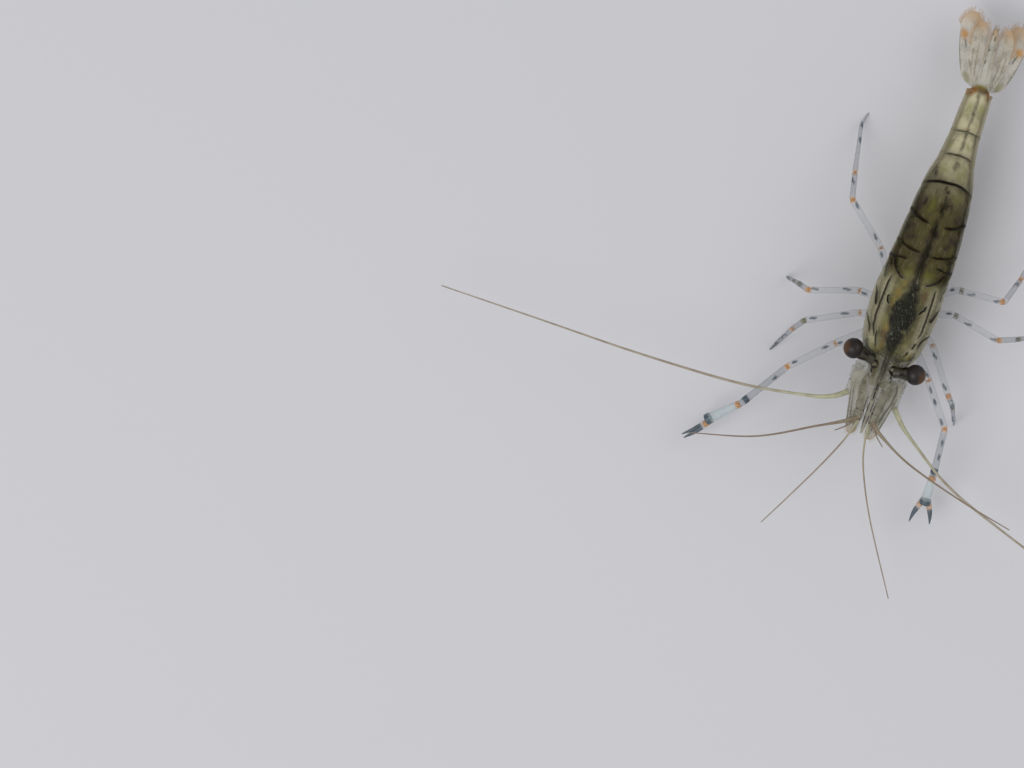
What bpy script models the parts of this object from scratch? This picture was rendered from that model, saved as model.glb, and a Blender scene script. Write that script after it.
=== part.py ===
# A rockpool prawn at life size, standing on its six walking legs.
#
# All sizes are millimetres in the prawn's own frame: y = 0 is the line between the eyes, +Y runs to the tail,
# +X is the prawn's left and z = 0 is the floor. The last step moves the whole prawn, so that the row frame's
# origin is the middle of the bounding box's base.

from math import cos, pi, radians, sin

import bmesh
import bpy
from mathutils import Matrix, Vector
from mathutils.geometry import tessellate_polygon

MM = 0.001
GAP = 0.3  # between one node and the next
MARGIN_GAP = 0.5  # the same, measured along the body across the slanting margins of the shell plates
THIN = 0.5  # the least thickness of a plate or a feeler away from its tip
LEFT, RIGHT = 1, -1
SIDES = {LEFT: "left", RIGHT: "right"}

# Lengths along the body, from the tip of the rostrum to the tip of the telson.
ROSTRUM_TIP = -8.7
ORBIT = 0.5
CARAPACE_BACK = 10.2
SOMITE_BACKS = (13.5, 17.2, 22.1, 25.6, 28.5, 33.7)
TELSON_TIP = 41.2

# The body's outside, as (y, size) pairs that a smooth curve joins.
HALF_WIDTH = ((0.0, 2.3), (1.2, 3.0), (2.5, 3.45), (5.0, 3.8), (8.0, 3.9), (11.7, 3.7), (17.5, 3.3),
              (21.7, 2.85), (25.8, 1.95), (28.5, 1.65), (34.0, 1.4))
TOP = ((0.0, 12.3), (3.0, 13.1), (7.0, 13.5), (11.0, 13.3), (16.0, 13.7), (20.0, 13.4), (24.0, 12.0),
       (28.5, 10.7), (34.0, 9.5))
SIDE_LOW = ((0.0, 8.0), (2.0, 6.3), (5.0, 5.7), (9.0, 5.6), (12.0, 5.8), (15.5, 5.0), (20.0, 5.3),
            (24.0, 5.7), (27.0, 6.3), (29.5, 6.6), (34.0, 6.4))
WIDEST_SHARE = 0.42  # height of the widest line, as a share of the side's height
LOW_INWARD = 0.26  # how far the lower edge lies in from the widest line, as a share of the half width
SIDE_WALL = 0.6
BELLY_RISE = ((0.0, 1.3), (17.0, 1.3), (20.5, 0.9), (23.0, 0.25), (34.0, 0.2))  # above the side's lower edge
SHOULDER = 0.6  # the share of the section's outline that lies above the widest line
OUTLINE_STEPS = 9

# How far each rear margin swings back at the flank and at the lower edge, carapace first.
MARGIN_SWINGS = ((2.0, 1.0), (0.9, -0.6), (1.0, 1.1), (-0.9, 0.9), (-0.4, 0.9), (-0.2, 0.5), (-0.1, -0.3))
# How far the lower edge rises at each margin, front to back
NOTCHES = (0.0, 0.4, 0.8, 0.9, 1.0, 0.9, 0.4, 0.3)

# Rostrum: a toothed blade with a rib on each side.
BLADE_THICK = 0.55
BLADE_BACK = 3.6
# The blade's upper edge at the eyes, and its rise from there to the tip
RIDGE_HEIGHT, RIDGE_RISE = 12.45, 0.35
RIDGE_ON_BODY = 0.15  # the crest behind the eyes stands this far above the back
KEEL_HEIGHT, KEEL_DIP, KEEL_RISE = 12.1, 0.75, 1.25  # the lower edge: at the eyes, halfway, and up to the tip
BARE_TIP = 1.2  # the tip's length without upper teeth
UPPER_TEETH = 8
LOWER_TEETH = 3
LOWER_TEETH_FRONT, LOWER_TEETH_BACK = -7.1, -2.2
TOOTH_HEIGHT = 0.45
TOOTH_LEAN = 0.8  # where a tooth's point stands in its pitch
RIB = ((0, 2.4, 12.3), (0, 0.2, 12.1), (0, -4.0, 12.1), (0, -7.6, 12.5))
RIB_RADII = (0.8, 0.55, 0.42, 0.2)

# The carapace's front margin as (share, y), and where the cheek's two spines leave it.
FRONT_MARGIN = ((0.0, ORBIT), (0.12, 0.9), (0.32, 2.2), (0.5, 1.5), (0.62, 0.6), (0.8, 1.2), (1.0, 2.6))
CHEEK_SPINES = ((2.75, 0.6, 8.9), (3.0, 1.5, 7.6))
# The root lies this far in and back, and the point this far ahead
SPINE_BEHIND, SPINE_AHEAD = (0.5, 1.2), 0.9
SPINE_RADII = (0.42, 0.12)

# Thorax floor, between the legs.
THORAX_FRONT, THORAX_BACK = 0.9, 10.0
THORAX_HALF_WIDTH = 1.35
THORAX_LOW = 4.1
THORAX_CHAMFER = 0.4
ROOF_GAP = 0.45  # between the thorax floor and the carapace above it

# Head: the block under the rostrum that carries eyes and feelers.
HEAD_FRONT, HEAD_BACK = -2.2, ORBIT - GAP - 0.05
HEAD_HALF_WIDTH = 1.75
HEAD_LOW, HEAD_TOP = 6.6, 11.0
HEAD_TAPER = 0.42

EYE_RADIUS = 1.22
EYES = {LEFT: (3.8, -0.15, 11.0), RIGHT: (-3.95, 0.42, 11.0)}
STALK_RADII = (0.62, 0.72, 0.8)  # from the head to the eye
STALK_BACK, STALK_DOWN = 0.45, 0.75  # the stalk's root lies this far behind and below the eye's centre

# The leg segments' end points from the hip out: ischium, merus, carpus, propodus, tip.
HIP_Y = {1: 1.9, 2: 3.7, 3: 5.3, 4: 7.0, 5: 8.8}
HIP_Z = 4.7
COXA = 0.55  # each leg leaves the thorax straight outwards for this length
LEGS = {
    (3, RIGHT): (
        (-4.8, 4.6, 4.8), (-10.5, 1.6, 8.3), (-11.4, 0.3, 5.7), (-12.6, -2.0, 1.2), (-13.0, -2.85, 0),
    ),
    (3, LEFT): ((4.7, 4.0, 4.8), (8.3, -1.1, 8.4), (9.25, -2.0, 5.6), (10.2, -3.6, 1.1), (10.4, -4.1, 0)),
    (4, RIGHT): ((-5.6, 7.1, 4.8), (-11.3, 5.1, 8.8), (-12.5, 5.5, 6.1), (-13.7, 5.8, 1.2), (-14.0, 5.9, 0)),
    (4, LEFT): ((6.0, 8.1, 4.8), (11.6, 6.9, 8.6), (13.8, 7.8, 6.4), (16.2, 9.0, 1.3), (16.8, 9.4, 0)),
    (5, RIGHT): (
        (-4.7, 12.6, 4.5), (-9.9, 16.9, 6.8), (-10.6, 20.0, 4.8), (-11.7, 25.8, 0.9), (-11.3, 27.3, 0),
    ),
    (5, LEFT): ((5.3, 11.0, 4.6), (10.9, 11.4, 8.0), (11.9, 14.5, 6.1), (13.1, 19.8, 1.2), (12.9, 21.3, 0)),
}
WALKING_RADII = (0.5, 0.42, 0.38, 0.33, 0.27)  # ischium, merus, carpus, propodus, tip

# Claw legs: as above, with the palm in place of the propodus, then the two fingertips.
CLAW_LEGS = {
    (1, RIGHT): ((-2.2, -0.4, 3.9), (-2.6, -3.4, 4.6), (-1.7, -6.0, 3.4), (-1.2, -7.0, 2.5),
                 (-1.2, -8.1, 1.6), (-0.7, -8.1, 1.9)),
    (1, LEFT): ((2.2, -0.4, 3.9), (2.6, -3.4, 4.6), (1.8, -6.0, 3.5), (1.3, -7.0, 2.7),
                (1.3, -8.1, 1.8), (0.8, -8.1, 2.1)),
    (2, RIGHT): ((-6.1, 0.3, 5.0), (-10.5, -4.1, 6.2), (-14.2, -10.0, 5.2), (-17.4, -13.2, 3.8),
                 (-19.7, -15.7, 2.6), (-19.1, -16.3, 2.8)),
    (2, LEFT): ((5.7, -0.2, 5.2), (9.3, -4.9, 6.8), (9.9, -10.4, 5.0), (10.1, -14.0, 3.6),
                (9.1, -16.6, 2.5), (11.5, -16.1, 2.5)),
}
CLAW_RADII = {1: (0.42, 0.36, 0.33, 0.42, 0.27), 2: (0.5, 0.42, 0.5, 0.68, 0.36)}
FINGERTIP_RADIUS = 0.14
FOOT_SINK = 0.5  # a walking leg is modelled this far below the floor, then cut flat at z = 0

# Third maxillipeds, from the mouth forward.
MAXILLIPED = ((1.0, 0.6, 5.1), (1.15, -1.2, 4.9), (1.15, -3.2, 5.9), (1.0, -5.4, 6.1))
MAXILLIPED_RADII = (0.42, 0.4, 0.36, 0.26)

# Antennules: a stout peduncle on each side of the rostrum, with an outer and an inner flagellum.
ANTENNULE_X, ANTENNULE_Z = 0.95, 9.9
ANTENNULE_JOINTS = (-2.5, -5.0, -6.1, -7.2)
ANTENNULE_RADII = (0.78, 0.62, 0.52, 0.5)
OUTER_FLAGELLA = {
    RIGHT: (
        (-1.35, -7.7, 10.2), (-2.8, -8.3, 10.5), (-5.2, -9.6, 10.6), (-11.4, -13.1, 10.2), (-18.8, -15.3, 9.0),
    ),
    LEFT: (
        (1.35, -7.7, 10.2), (2.6, -8.4, 10.5), (6.8, -10.3, 10.6), (13.9, -12.3, 10.2), (20.3, -13.6, 9.2),
    ),
}
INNER_FLAGELLA = {
    RIGHT: (
        (-0.7, -7.75, 9.5), (-1.4, -9.8, 9.3), (-3.0, -13.6, 8.8), (-5.4, -18.5, 8.0), (-7.4, -22.4, 7.2),
    ),
    LEFT: ((0.7, -7.75, 9.5), (0.9, -9.6, 9.3), (1.9, -12.8, 8.8), (4.6, -18.0, 7.8), (9.7, -25.9, 6.2)),
}
OUTER_ROOT_RADIUS, INNER_ROOT_RADIUS = 0.36, 0.28

# Antennae: a short peduncle, the broad scale above it, and the long flagellum.
PEDUNCLE = ((2.05, -1.5, 7.4), (2.5, -3.0, 7.3), (2.75, -4.5, 7.3))
PEDUNCLE_RADII = (0.7, 0.62, 0.5)
ANTENNAE = {
    RIGHT: ((-3.1, -5.05, 7.3), (-7.5, -6.6, 7.7), (-15.4, -7.9, 8.3), (-27.4, -8.5, 8.4), (-40.0, -8.6, 7.6),
            (-52.0, -8.7, 6.0)),
    LEFT: ((2.95, -5.0, 7.3), (6.7, -7.9, 7.7), (11.4, -10.9, 8.1), (17.5, -13.3, 8.4), (30.0, -17.0, 7.8),
           (44.0, -19.0, 6.0)),
}
ANTENNA_ROOT_RADIUS = 0.36
FEELER_RADIUS, FEELER_TIP_RADIUS = 0.25, 0.13

# The antennal scale, and the tail fan's plates below: (y, x) pairs along the left one's inner and outer edge.
SCALE = {"inner": ((-9.1, 0.95), (-8.7, 0.65), (-7.6, 0.5), (-5.0, 0.75), (-2.6, 1.15)),
         "outer": ((-9.1, 1.45), (-8.7, 1.75), (-7.6, 2.1), (-5.0, 2.65), (-3.2, 2.95), (-2.6, 2.6)),
         "heights": (8.5, 8.65)}

# Tail fan: the telson between two pairs of uropods, each pair a step lower than the last.
FAN_ROOT = SOMITE_BACKS[-1] + GAP
TELSON_Z = (8.5, 7.3)
TELSON_HALF_WIDTHS = (0.95, 0.4)
TELSON_END = 0.92  # the share of its length at which the telson's end starts to round in
FAN_STEP = THIN + GAP + 0.3
FAN_LEAN = -0.08  # the fan leans to the prawn's right by this share of its length
RIB_HEIGHT = 0.12
UROPODS = {
    "endopod": {"inner": ((34.0, 0.3), (35.0, 0.6), (37.0, 0.65), (40.0, 0.75), (41.2, 1.0), (41.75, 1.3)),
                "outer": ((34.0, 0.95), (35.0, 1.7), (37.0, 2.2), (39.0, 2.45), (40.5, 2.4), (41.4, 2.1),
                          (41.75, 1.8)),
                "lower": 1},
    "exopod": {"inner": ((34.0, 0.5), (35.0, 1.15), (38.0, 1.4), (40.5, 1.7), (41.8, 1.95), (42.4, 2.25),
                         (42.6, 2.5)),
               "outer": ((34.0, 1.3), (34.5, 2.2), (35.0, 2.75), (37.1, 3.6), (40.3, 4.4), (41.0, 4.35),
                         (42.0, 3.85), (42.5, 3.25), (42.6, 3.0)),
               "lower": 2},
}

# Swimmerets, one pair under each of the first five somites.
PLEOPOD_RADIUS = 0.4
PLEOPOD_LENGTHS = (3.6, 3.9, 3.9, 3.5, 2.8)
PLEOPOD_LEAN = 38  # degrees back from straight down
PLEOPOD_STALK = 1.5
PLEOPOD_X = 1.2
# How far each blade splays outwards, and its share of the length
PLEOPOD_BLADES = ((0.5, 1.0), (-0.26, 0.82))
PLEOPOD_BLADE_RADII = (0.3, 0.42, 0.36, 0.25)
PLEOPOD_CLEARANCE = 0.7  # the blades end at least this high above the floor

COLOURS = {
    "shell": ((0.42, 0.41, 0.27), 0.35),
    "leg": ((0.62, 0.68, 0.68), 0.35),
    "feeler": ((0.52, 0.42, 0.28), 0.4),
    "eye": ((0.10, 0.07, 0.05), 0.2),
    "fan": ((0.72, 0.70, 0.62), 0.3),
}


# Curves and numbers

def hermite(pairs, y):
    """Smooth value at y of a curve through (y, value) pairs."""
    last = len(pairs) - 1
    if y <= pairs[0][0]:
        return pairs[0][1]
    if y >= pairs[last][0]:
        return pairs[last][1]
    i = max(k for k in range(last) if pairs[k][0] <= y)
    (y0, v0), (y1, v1) = pairs[i], pairs[i + 1]

    def slope(k):
        a, b = pairs[max(k - 1, 0)], pairs[min(k + 1, last)]
        return (b[1] - a[1]) / (b[0] - a[0])

    step = y1 - y0
    t = (y - y0) / step
    return (v0 * (1 + 2 * t) * (1 - t) ** 2 + slope(i) * step * t * (1 - t) ** 2
            + v1 * t * t * (3 - 2 * t) - slope(i + 1) * step * t * t * (1 - t))


def smooth_path(points, per_span):
    """Points read from one smooth curve through the given points."""
    points = [Vector(p) for p in points]
    ends = [2 * points[0] - points[1], *points, 2 * points[-1] - points[-2]]
    path = []
    for a, b, c, d in zip(ends, ends[1:], ends[2:], ends[3:]):
        for k in range(per_span):
            t = k / per_span
            path.append(0.5 * (2 * b + (c - a) * t + (2 * a - 5 * b + 4 * c - d) * t * t
                               + (3 * b - a - 3 * c + d) * t ** 3))
    return path + [points[-1]]


# Objects

def material(slot):
    if slot in bpy.data.materials:
        return bpy.data.materials[slot]
    colour, roughness = COLOURS[slot]
    made = bpy.data.materials.new(slot)
    made.use_nodes = True
    shader = made.node_tree.nodes["Principled BSDF"]
    shader.inputs["Base Color"].default_value = (*colour, 1)
    shader.inputs["Roughness"].default_value = roughness
    shader.inputs["Metallic"].default_value = 0
    return made


def add_object(name, mesh, slot=None):
    made = bpy.data.objects.new(name, mesh)
    prawn.objects.link(made)
    if slot:
        mesh.materials.clear()
        mesh.materials.append(material(slot))
        mesh.shade_smooth()
        mesh.set_sharp_from_angle(angle=radians(50))
    return made


def loft_sides(steps, around):
    """Faces that join steps + 1 rings of points, each with so many points around it."""
    faces = []
    for k in range(steps):
        for i in range(around):
            a, b = k * around + i, k * around + (i + 1) % around
            faces.append((a, b, b + around, a + around))
    return faces


def loft_faces(steps, around):
    """Faces of a closed form through steps + 1 rings of points, with its end caps."""
    ends = [tuple(range(around)), tuple(range(steps * around, (steps + 1) * around))]
    return loft_sides(steps, around) + ends


def mesh_from(name, points, faces):
    """A closed mesh from points in millimetres, its faces turned outwards."""
    work = bmesh.new()
    verts = [work.verts.new(Vector(p) * MM) for p in points]
    for face in faces:
        work.faces.new([verts[k] for k in face])
    bmesh.ops.recalc_face_normals(work, faces=work.faces)
    mesh = bpy.data.meshes.new(name)
    work.to_mesh(mesh)
    work.free()
    return mesh


def tube_mesh(name, points, radii, resolution=2):
    """A round tube of changing radius, with closed ends."""
    curve = bpy.data.curves.new(name, "CURVE")
    curve.dimensions = "3D"
    curve.bevel_depth = MM
    curve.bevel_resolution = resolution
    curve.use_fill_caps = True
    spline = curve.splines.new("POLY")
    spline.points.add(len(points) - 1)
    for point, place, radius in zip(spline.points, points, radii):
        point.co = (*(Vector(place) * MM), 1)
        point.radius = radius
    holder = bpy.data.objects.new(name, curve)
    bpy.context.scene.collection.objects.link(holder)
    graph = bpy.context.evaluated_depsgraph_get()
    mesh = bpy.data.meshes.new_from_object(holder.evaluated_get(graph))
    bpy.data.objects.remove(holder)
    bpy.data.curves.remove(curve)
    work = bmesh.new()
    work.from_mesh(mesh)
    bmesh.ops.remove_doubles(work, verts=work.verts, dist=0.00001)
    bmesh.ops.recalc_face_normals(work, faces=work.faces)
    work.to_mesh(mesh)
    work.free()
    return mesh


def leaf_mesh(name, inner, outer, heights, thickness, side=LEFT, droop=0.0, steps=11, rib=0.0, lean=0.0):
    """A thin plate, level across, with rounded edges and a raised rib along its middle.

    inner and outer are the left plate's edges as (y, x) pairs, and heights its z at its front and rear ends.
    """
    across = ((0.0, 0), (0.1, 0.5), (0.38, 0.5), (0.5, 0.5), (0.62, 0.5), (0.9, 0.5),
              (1.0, 0), (0.9, -0.5), (0.5, -0.5), (0.1, -0.5))
    front, back = inner[0][0], inner[-1][0]
    points = []
    for k in range(steps + 1):
        y = front + (back - front) * (1 - cos(pi * k / steps)) / 2
        near, far = hermite(inner, y), hermite(outer, y)
        middle = heights[0] + (heights[1] - heights[0]) * (y - front) / (back - front)
        for a, up in across:
            z = middle - droop * (2 * a - 1) ** 2 + up * thickness
            ridge = rib if a == 0.5 and up > 0 else 0
            points.append(((near + (far - near) * a) * side + lean * (y - FAN_ROOT), y, z + ridge))
    return mesh_from(name, points, loft_faces(steps, len(across)))


def join(name, meshes, slot):
    """One closed node from overlapping closed meshes."""
    base = add_object(name, meshes[0], slot)
    if len(meshes) == 1:
        return base
    pieces = bpy.data.collections.new(name + "_pieces")
    bpy.context.scene.collection.children.link(pieces)
    for k, mesh in enumerate(meshes[1:]):
        pieces.objects.link(bpy.data.objects.new(f"{name}_piece_{k}", mesh))
    union = base.modifiers.new("union", "BOOLEAN")
    union.operation = "UNION"
    union.operand_type = "COLLECTION"
    union.collection = pieces
    union.solver = "MANIFOLD"
    graph = bpy.context.evaluated_depsgraph_get()
    joined = bpy.data.meshes.new_from_object(base.evaluated_get(graph))
    base.modifiers.remove(union)
    base.data = joined
    for piece in list(pieces.objects):
        bpy.data.objects.remove(piece)
    bpy.data.collections.remove(pieces)
    joined.materials.clear()
    joined.materials.append(material(slot))
    joined.shade_smooth()
    joined.set_sharp_from_angle(angle=radians(50))
    return base


def cut_at_floor(mesh):
    """Removes what lies below z = 0 and closes the cut with a flat."""
    work = bmesh.new()
    work.from_mesh(mesh)
    everything = work.verts[:] + work.edges[:] + work.faces[:]
    cut = bmesh.ops.bisect_plane(work, geom=everything, plane_co=(0, 0, 0), plane_no=(0, 0, 1),
                                 clear_inner=True)
    rim = [e for e in cut["geom_cut"] if isinstance(e, bmesh.types.BMEdge)]
    bmesh.ops.contextual_create(work, geom=rim)
    bmesh.ops.recalc_face_normals(work, faces=work.faces)
    work.to_mesh(mesh)
    work.free()


# Carapace and abdomen

def section_point(y, share, low_lift=0.0):
    """(x, z) of the body's outside at y; share runs from 0 on the midline to 1 at the side's lower edge."""
    width = hermite(HALF_WIDTH, y)
    top = hermite(TOP, y)
    low = hermite(SIDE_LOW, y) + low_lift
    widest = low + WIDEST_SHARE * (top - low)
    if share <= SHOULDER:
        turn = share / SHOULDER * pi / 2
        return width * sin(turn) ** 0.9, widest + (top - widest) * cos(turn)
    drop = (share - SHOULDER) / (1 - SHOULDER)
    return width * (1 - LOW_INWARD * drop * drop), widest - (widest - low) * drop


def section_ring(y_at, low_lift):
    """A closed ring round the body, symmetric in x; y_at(share) is each point's place along the body."""
    outer = []
    for k in range(OUTLINE_STEPS + 1):
        share = k / OUTLINE_STEPS
        x, z = section_point(y_at(share), share, low_lift)
        outer.append((x, y_at(share), z))
    low_x, low_y, low_z = outer[-1]
    wall_x = low_x - min(SIDE_WALL, 0.5 * low_x)
    belly_z = low_z + hermite(BELLY_RISE, low_y)
    half = outer + [(wall_x, low_y, low_z), (wall_x, low_y, belly_z), (0, low_y, belly_z)]
    return half + [(-x, y, z) for x, y, z in reversed(half[1:-1])]


REFERENCE_RING = section_ring(lambda share: CARAPACE_BACK, 0.0)
END_TRIANGLES = tessellate_polygon([[Vector((x, z, 0)) for x, y, z in REFERENCE_RING]])


def swing(share, flank, lower):
    """How far a margin lies behind its place on the midline."""
    bulge = sin(min(share / 0.75, 1) * pi / 2) ** 2
    fall = max(0.0, (share - 0.55) / 0.45) ** 2
    return flank * bulge + (lower - flank) * fall


def margin(number):
    """The rear margin of plate number (0 is the carapace), as a function of the section's share."""
    back = (CARAPACE_BACK, *SOMITE_BACKS)[number]
    flank, lower = MARGIN_SWINGS[number]
    return lambda share: back + swing(share, flank, lower)


def plate_mesh(name, front_at, back_at, steps, notches):
    """A solid length of the body between two margins; its lower edge rises to a notch at each of them."""
    points, rings = [], steps + 1
    for k in range(rings):
        t = k / steps

        def y_at(share, t=t):
            return front_at(share) * (1 - t) + back_at(share) * t

        points += section_ring(y_at, notches[0 if t < 0.5 else 1] * abs(2 * t - 1) ** 3)
    n = len(points) // rings
    faces = loft_sides(steps, n) + [tuple(face) for face in END_TRIANGLES]
    faces += [tuple(steps * n + i for i in reversed(face)) for face in END_TRIANGLES]
    return mesh_from(name, points, faces)


def carapace_front(share):
    """The front margin: rostrum root, eye notch, cheek spines, then back to the lower edge."""
    return hermite(FRONT_MARGIN, share)


def rostrum_outline():
    """(y, z) points round the toothed blade, from its rear end over the top to the tip and back below."""
    def ridge(y):
        on_body = hermite(TOP, y) + RIDGE_ON_BODY
        ahead = RIDGE_HEIGHT + RIDGE_RISE * (ORBIT - y) / (ORBIT - ROSTRUM_TIP)
        return on_body if y > ORBIT + 1 else ahead

    def keel(y):
        t = (ORBIT - y) / (ORBIT - ROSTRUM_TIP)
        return KEEL_HEIGHT - KEEL_DIP * sin(min(2 * t, 1) * pi / 2) + KEEL_RISE * max(0.0, 2 * t - 1) ** 1.4

    outline = [(BLADE_BACK, hermite(TOP, BLADE_BACK) - 1.0), (BLADE_BACK, hermite(TOP, BLADE_BACK) + 0.05)]
    pitch = (BLADE_BACK - ROSTRUM_TIP - BARE_TIP) / UPPER_TEETH
    for k in range(UPPER_TEETH):
        back = BLADE_BACK - k * pitch
        point_y = back - TOOTH_LEAN * pitch
        outline += [(back - 0.1 * pitch, ridge(back)), (point_y, ridge(point_y) + TOOTH_HEIGHT)]
    outline.append((ROSTRUM_TIP, RIDGE_HEIGHT + RIDGE_RISE))
    pitch = (LOWER_TEETH_BACK - LOWER_TEETH_FRONT) / LOWER_TEETH
    for k in range(LOWER_TEETH):
        y = LOWER_TEETH_FRONT + k * pitch
        outline += [(y, keel(y) - TOOTH_HEIGHT / 2), (y + pitch / 2, keel(y + pitch / 2))]
    inside = RIDGE_HEIGHT - 0.9
    outline += [(LOWER_TEETH_BACK, keel(LOWER_TEETH_BACK)), (ORBIT, inside), (BLADE_BACK - 1.5, inside)]
    return outline


def rostrum_mesh():
    """The blade as a flat outline of the blade's thickness, stood upright on the midline."""
    curve = bpy.data.curves.new("blade", "CURVE")
    curve.dimensions = "2D"
    curve.fill_mode = "BOTH"
    curve.extrude = BLADE_THICK / 2 * MM
    spline = curve.splines.new("POLY")
    outline = rostrum_outline()
    spline.points.add(len(outline) - 1)
    for point, (y, z) in zip(spline.points, outline):
        point.co = (y * MM, z * MM, 0, 1)
    spline.use_cyclic_u = True
    holder = bpy.data.objects.new("blade", curve)
    bpy.context.scene.collection.objects.link(holder)
    graph = bpy.context.evaluated_depsgraph_get()
    mesh = bpy.data.meshes.new_from_object(holder.evaluated_get(graph))
    bpy.data.objects.remove(holder)
    upright = Matrix(((0, 0, 1, 0), (1, 0, 0, 0), (0, 1, 0, 0), (0, 0, 0, 1)))
    mesh.transform(upright)
    work = bmesh.new()
    work.from_mesh(mesh)
    bmesh.ops.remove_doubles(work, verts=work.verts, dist=0.00001)
    bmesh.ops.recalc_face_normals(work, faces=work.faces)
    work.to_mesh(mesh)
    work.free()
    return mesh


def make_carapace():
    pieces = [plate_mesh("carapace", carapace_front, margin(0), 9, NOTCHES[:2]), rostrum_mesh()]
    pieces.append(tube_mesh("rib", RIB, RIB_RADII))
    inward, behind = SPINE_BEHIND
    for side in SIDES:
        for x, y, z in CHEEK_SPINES:
            spine = [(side * (x - inward), y + behind, z), (side * x, y - SPINE_AHEAD, z)]
            pieces.append(tube_mesh("spine", spine, SPINE_RADII))
    join("carapace", pieces, "shell")


def make_abdomen():
    for number in range(1, 7):
        ahead = margin(number - 1)
        mesh = plate_mesh(f"somite_{number}", lambda share: ahead(share) + MARGIN_GAP, margin(number), 5,
                          NOTCHES[number:number + 2])
        add_object(f"abdomen_{number}", mesh, "shell")


def make_thorax():
    """The floor of the thorax, between the side plates, from which the legs grow."""
    points = []
    stations = (0.0, 0.12, 0.5, 0.88, 1.0)
    for t in stations:
        y = THORAX_FRONT + (THORAX_BACK - THORAX_FRONT) * t
        low = hermite(SIDE_LOW, y)
        wide = THORAX_HALF_WIDTH * (0.75 if t in (0.0, 1.0) else 1.0)
        roof = low + hermite(BELLY_RISE, y) - ROOF_GAP
        edge = THORAX_LOW + THORAX_CHAMFER
        points += [(wide - THORAX_CHAMFER, y, THORAX_LOW), (wide, y, edge), (wide, y, roof),
                   (-wide, y, roof), (-wide, y, edge), (THORAX_CHAMFER - wide, y, THORAX_LOW)]
    add_object("thorax", mesh_from("thorax", points, loft_faces(len(stations) - 1, 6)), "shell")


# Head, eyes and feelers

def make_head():
    points, steps, n = [], 5, 12
    for k in range(steps + 1):
        t = k / steps
        y = HEAD_BACK + (HEAD_FRONT - HEAD_BACK) * t
        size = 1 - HEAD_TAPER * t * t
        middle = (HEAD_LOW + HEAD_TOP) / 2 + 0.2 * t
        half_height = (HEAD_TOP - HEAD_LOW) / 2 * size
        for i in range(n):
            turn = 2 * pi * i / n
            points.append((HEAD_HALF_WIDTH * size * sin(turn), y, middle + half_height * cos(turn)))
    add_object("head", mesh_from("head", points, loft_faces(steps, n)), "shell")


def make_eyes():
    for side, word in SIDES.items():
        centre = Vector(EYES[side])
        root = Vector((side * (HEAD_HALF_WIDTH + 0.05), centre.y - STALK_BACK, centre.z - STALK_DOWN))
        towards = (centre - root).normalized()
        work = bmesh.new()
        bmesh.ops.create_uvsphere(work, u_segments=16, v_segments=10, radius=EYE_RADIUS * MM,
                                  matrix=towards.to_track_quat("Z", "Y").to_matrix().to_4x4())
        bmesh.ops.translate(work, verts=work.verts, vec=centre * MM)
        mesh = bpy.data.meshes.new("eye_" + word)
        work.to_mesh(mesh)
        work.free()
        add_object("eye_" + word, mesh, "eye")
        end = centre - towards * (EYE_RADIUS + GAP)
        stalk = tube_mesh("eyestalk_" + word, [root, root.lerp(end, 0.5), end], STALK_RADII)
        add_object("eyestalk_" + word, stalk, "shell")


def feeler_radii(count, root_radius):
    """Thick at the root, level after the first sixth, then thin over the last fifth."""
    radii = []
    for k in range(count):
        t = k / (count - 1)
        base = max(0.0, 1 - t / 0.16)
        tip = max(0.0, (t - 0.8) / 0.2)
        thick = FEELER_RADIUS + (root_radius - FEELER_RADIUS) * base
        radii.append(thick - (FEELER_RADIUS - FEELER_TIP_RADIUS) * tip)
    return radii


def add_feeler(name, points, root_radius, lengths=1, per_span=6):
    """A long thin feeler, in one node or in several lengths end to end."""
    path = smooth_path(points, per_span)
    radii = feeler_radii(len(path), root_radius)
    cuts = [round(k * (len(path) - 1) / lengths) for k in range(lengths + 1)]
    for k in range(lengths):
        stretch = path[cuts[k]:cuts[k + 1] + 1]
        if k:
            stretch[0] = stretch[0] + (stretch[1] - stretch[0]).normalized() * GAP
        part = f"{name}_{k + 1}" if lengths > 1 else name
        add_object(part, tube_mesh(part, stretch, radii[cuts[k]:cuts[k + 1] + 1], resolution=1), "feeler")


def make_antennules():
    for side, word in SIDES.items():
        x = side * ANTENNULE_X
        path, radii = [(x, ANTENNULE_JOINTS[0], ANTENNULE_Z)], [ANTENNULE_RADII[0] * 0.9]
        for k in range(1, len(ANTENNULE_JOINTS)):
            back, front = ANTENNULE_JOINTS[k - 1], ANTENNULE_JOINTS[k]
            for t, swell in ((0.15, 0.9), (0.85, 1.0), (1.0, 0.85)):
                path.append((x, back + (front - back) * t, ANTENNULE_Z))
                radii.append(ANTENNULE_RADII[k - 1] * swell)
        add_object("antennule_" + word, tube_mesh("antennule_" + word, path, radii), "shell")
        add_feeler(f"antennule_outer_flagellum_{word}", OUTER_FLAGELLA[side], OUTER_ROOT_RADIUS)
        add_feeler(f"antennule_inner_flagellum_{word}", INNER_FLAGELLA[side], INNER_ROOT_RADIUS)


def make_antennae():
    for side, word in SIDES.items():
        path = [(side * x, y, z) for x, y, z in PEDUNCLE]
        add_object("antenna_" + word, tube_mesh("antenna_" + word, path, PEDUNCLE_RADII), "shell")
        name = "antennal_scale_" + word
        scale = leaf_mesh(name, SCALE["inner"], SCALE["outer"], SCALE["heights"], THIN, side, steps=9)
        add_object(name, scale, "fan")
        add_feeler("antenna_flagellum_" + word, ANTENNAE[side], ANTENNA_ROOT_RADIUS, lengths=2)


# Legs

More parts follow.
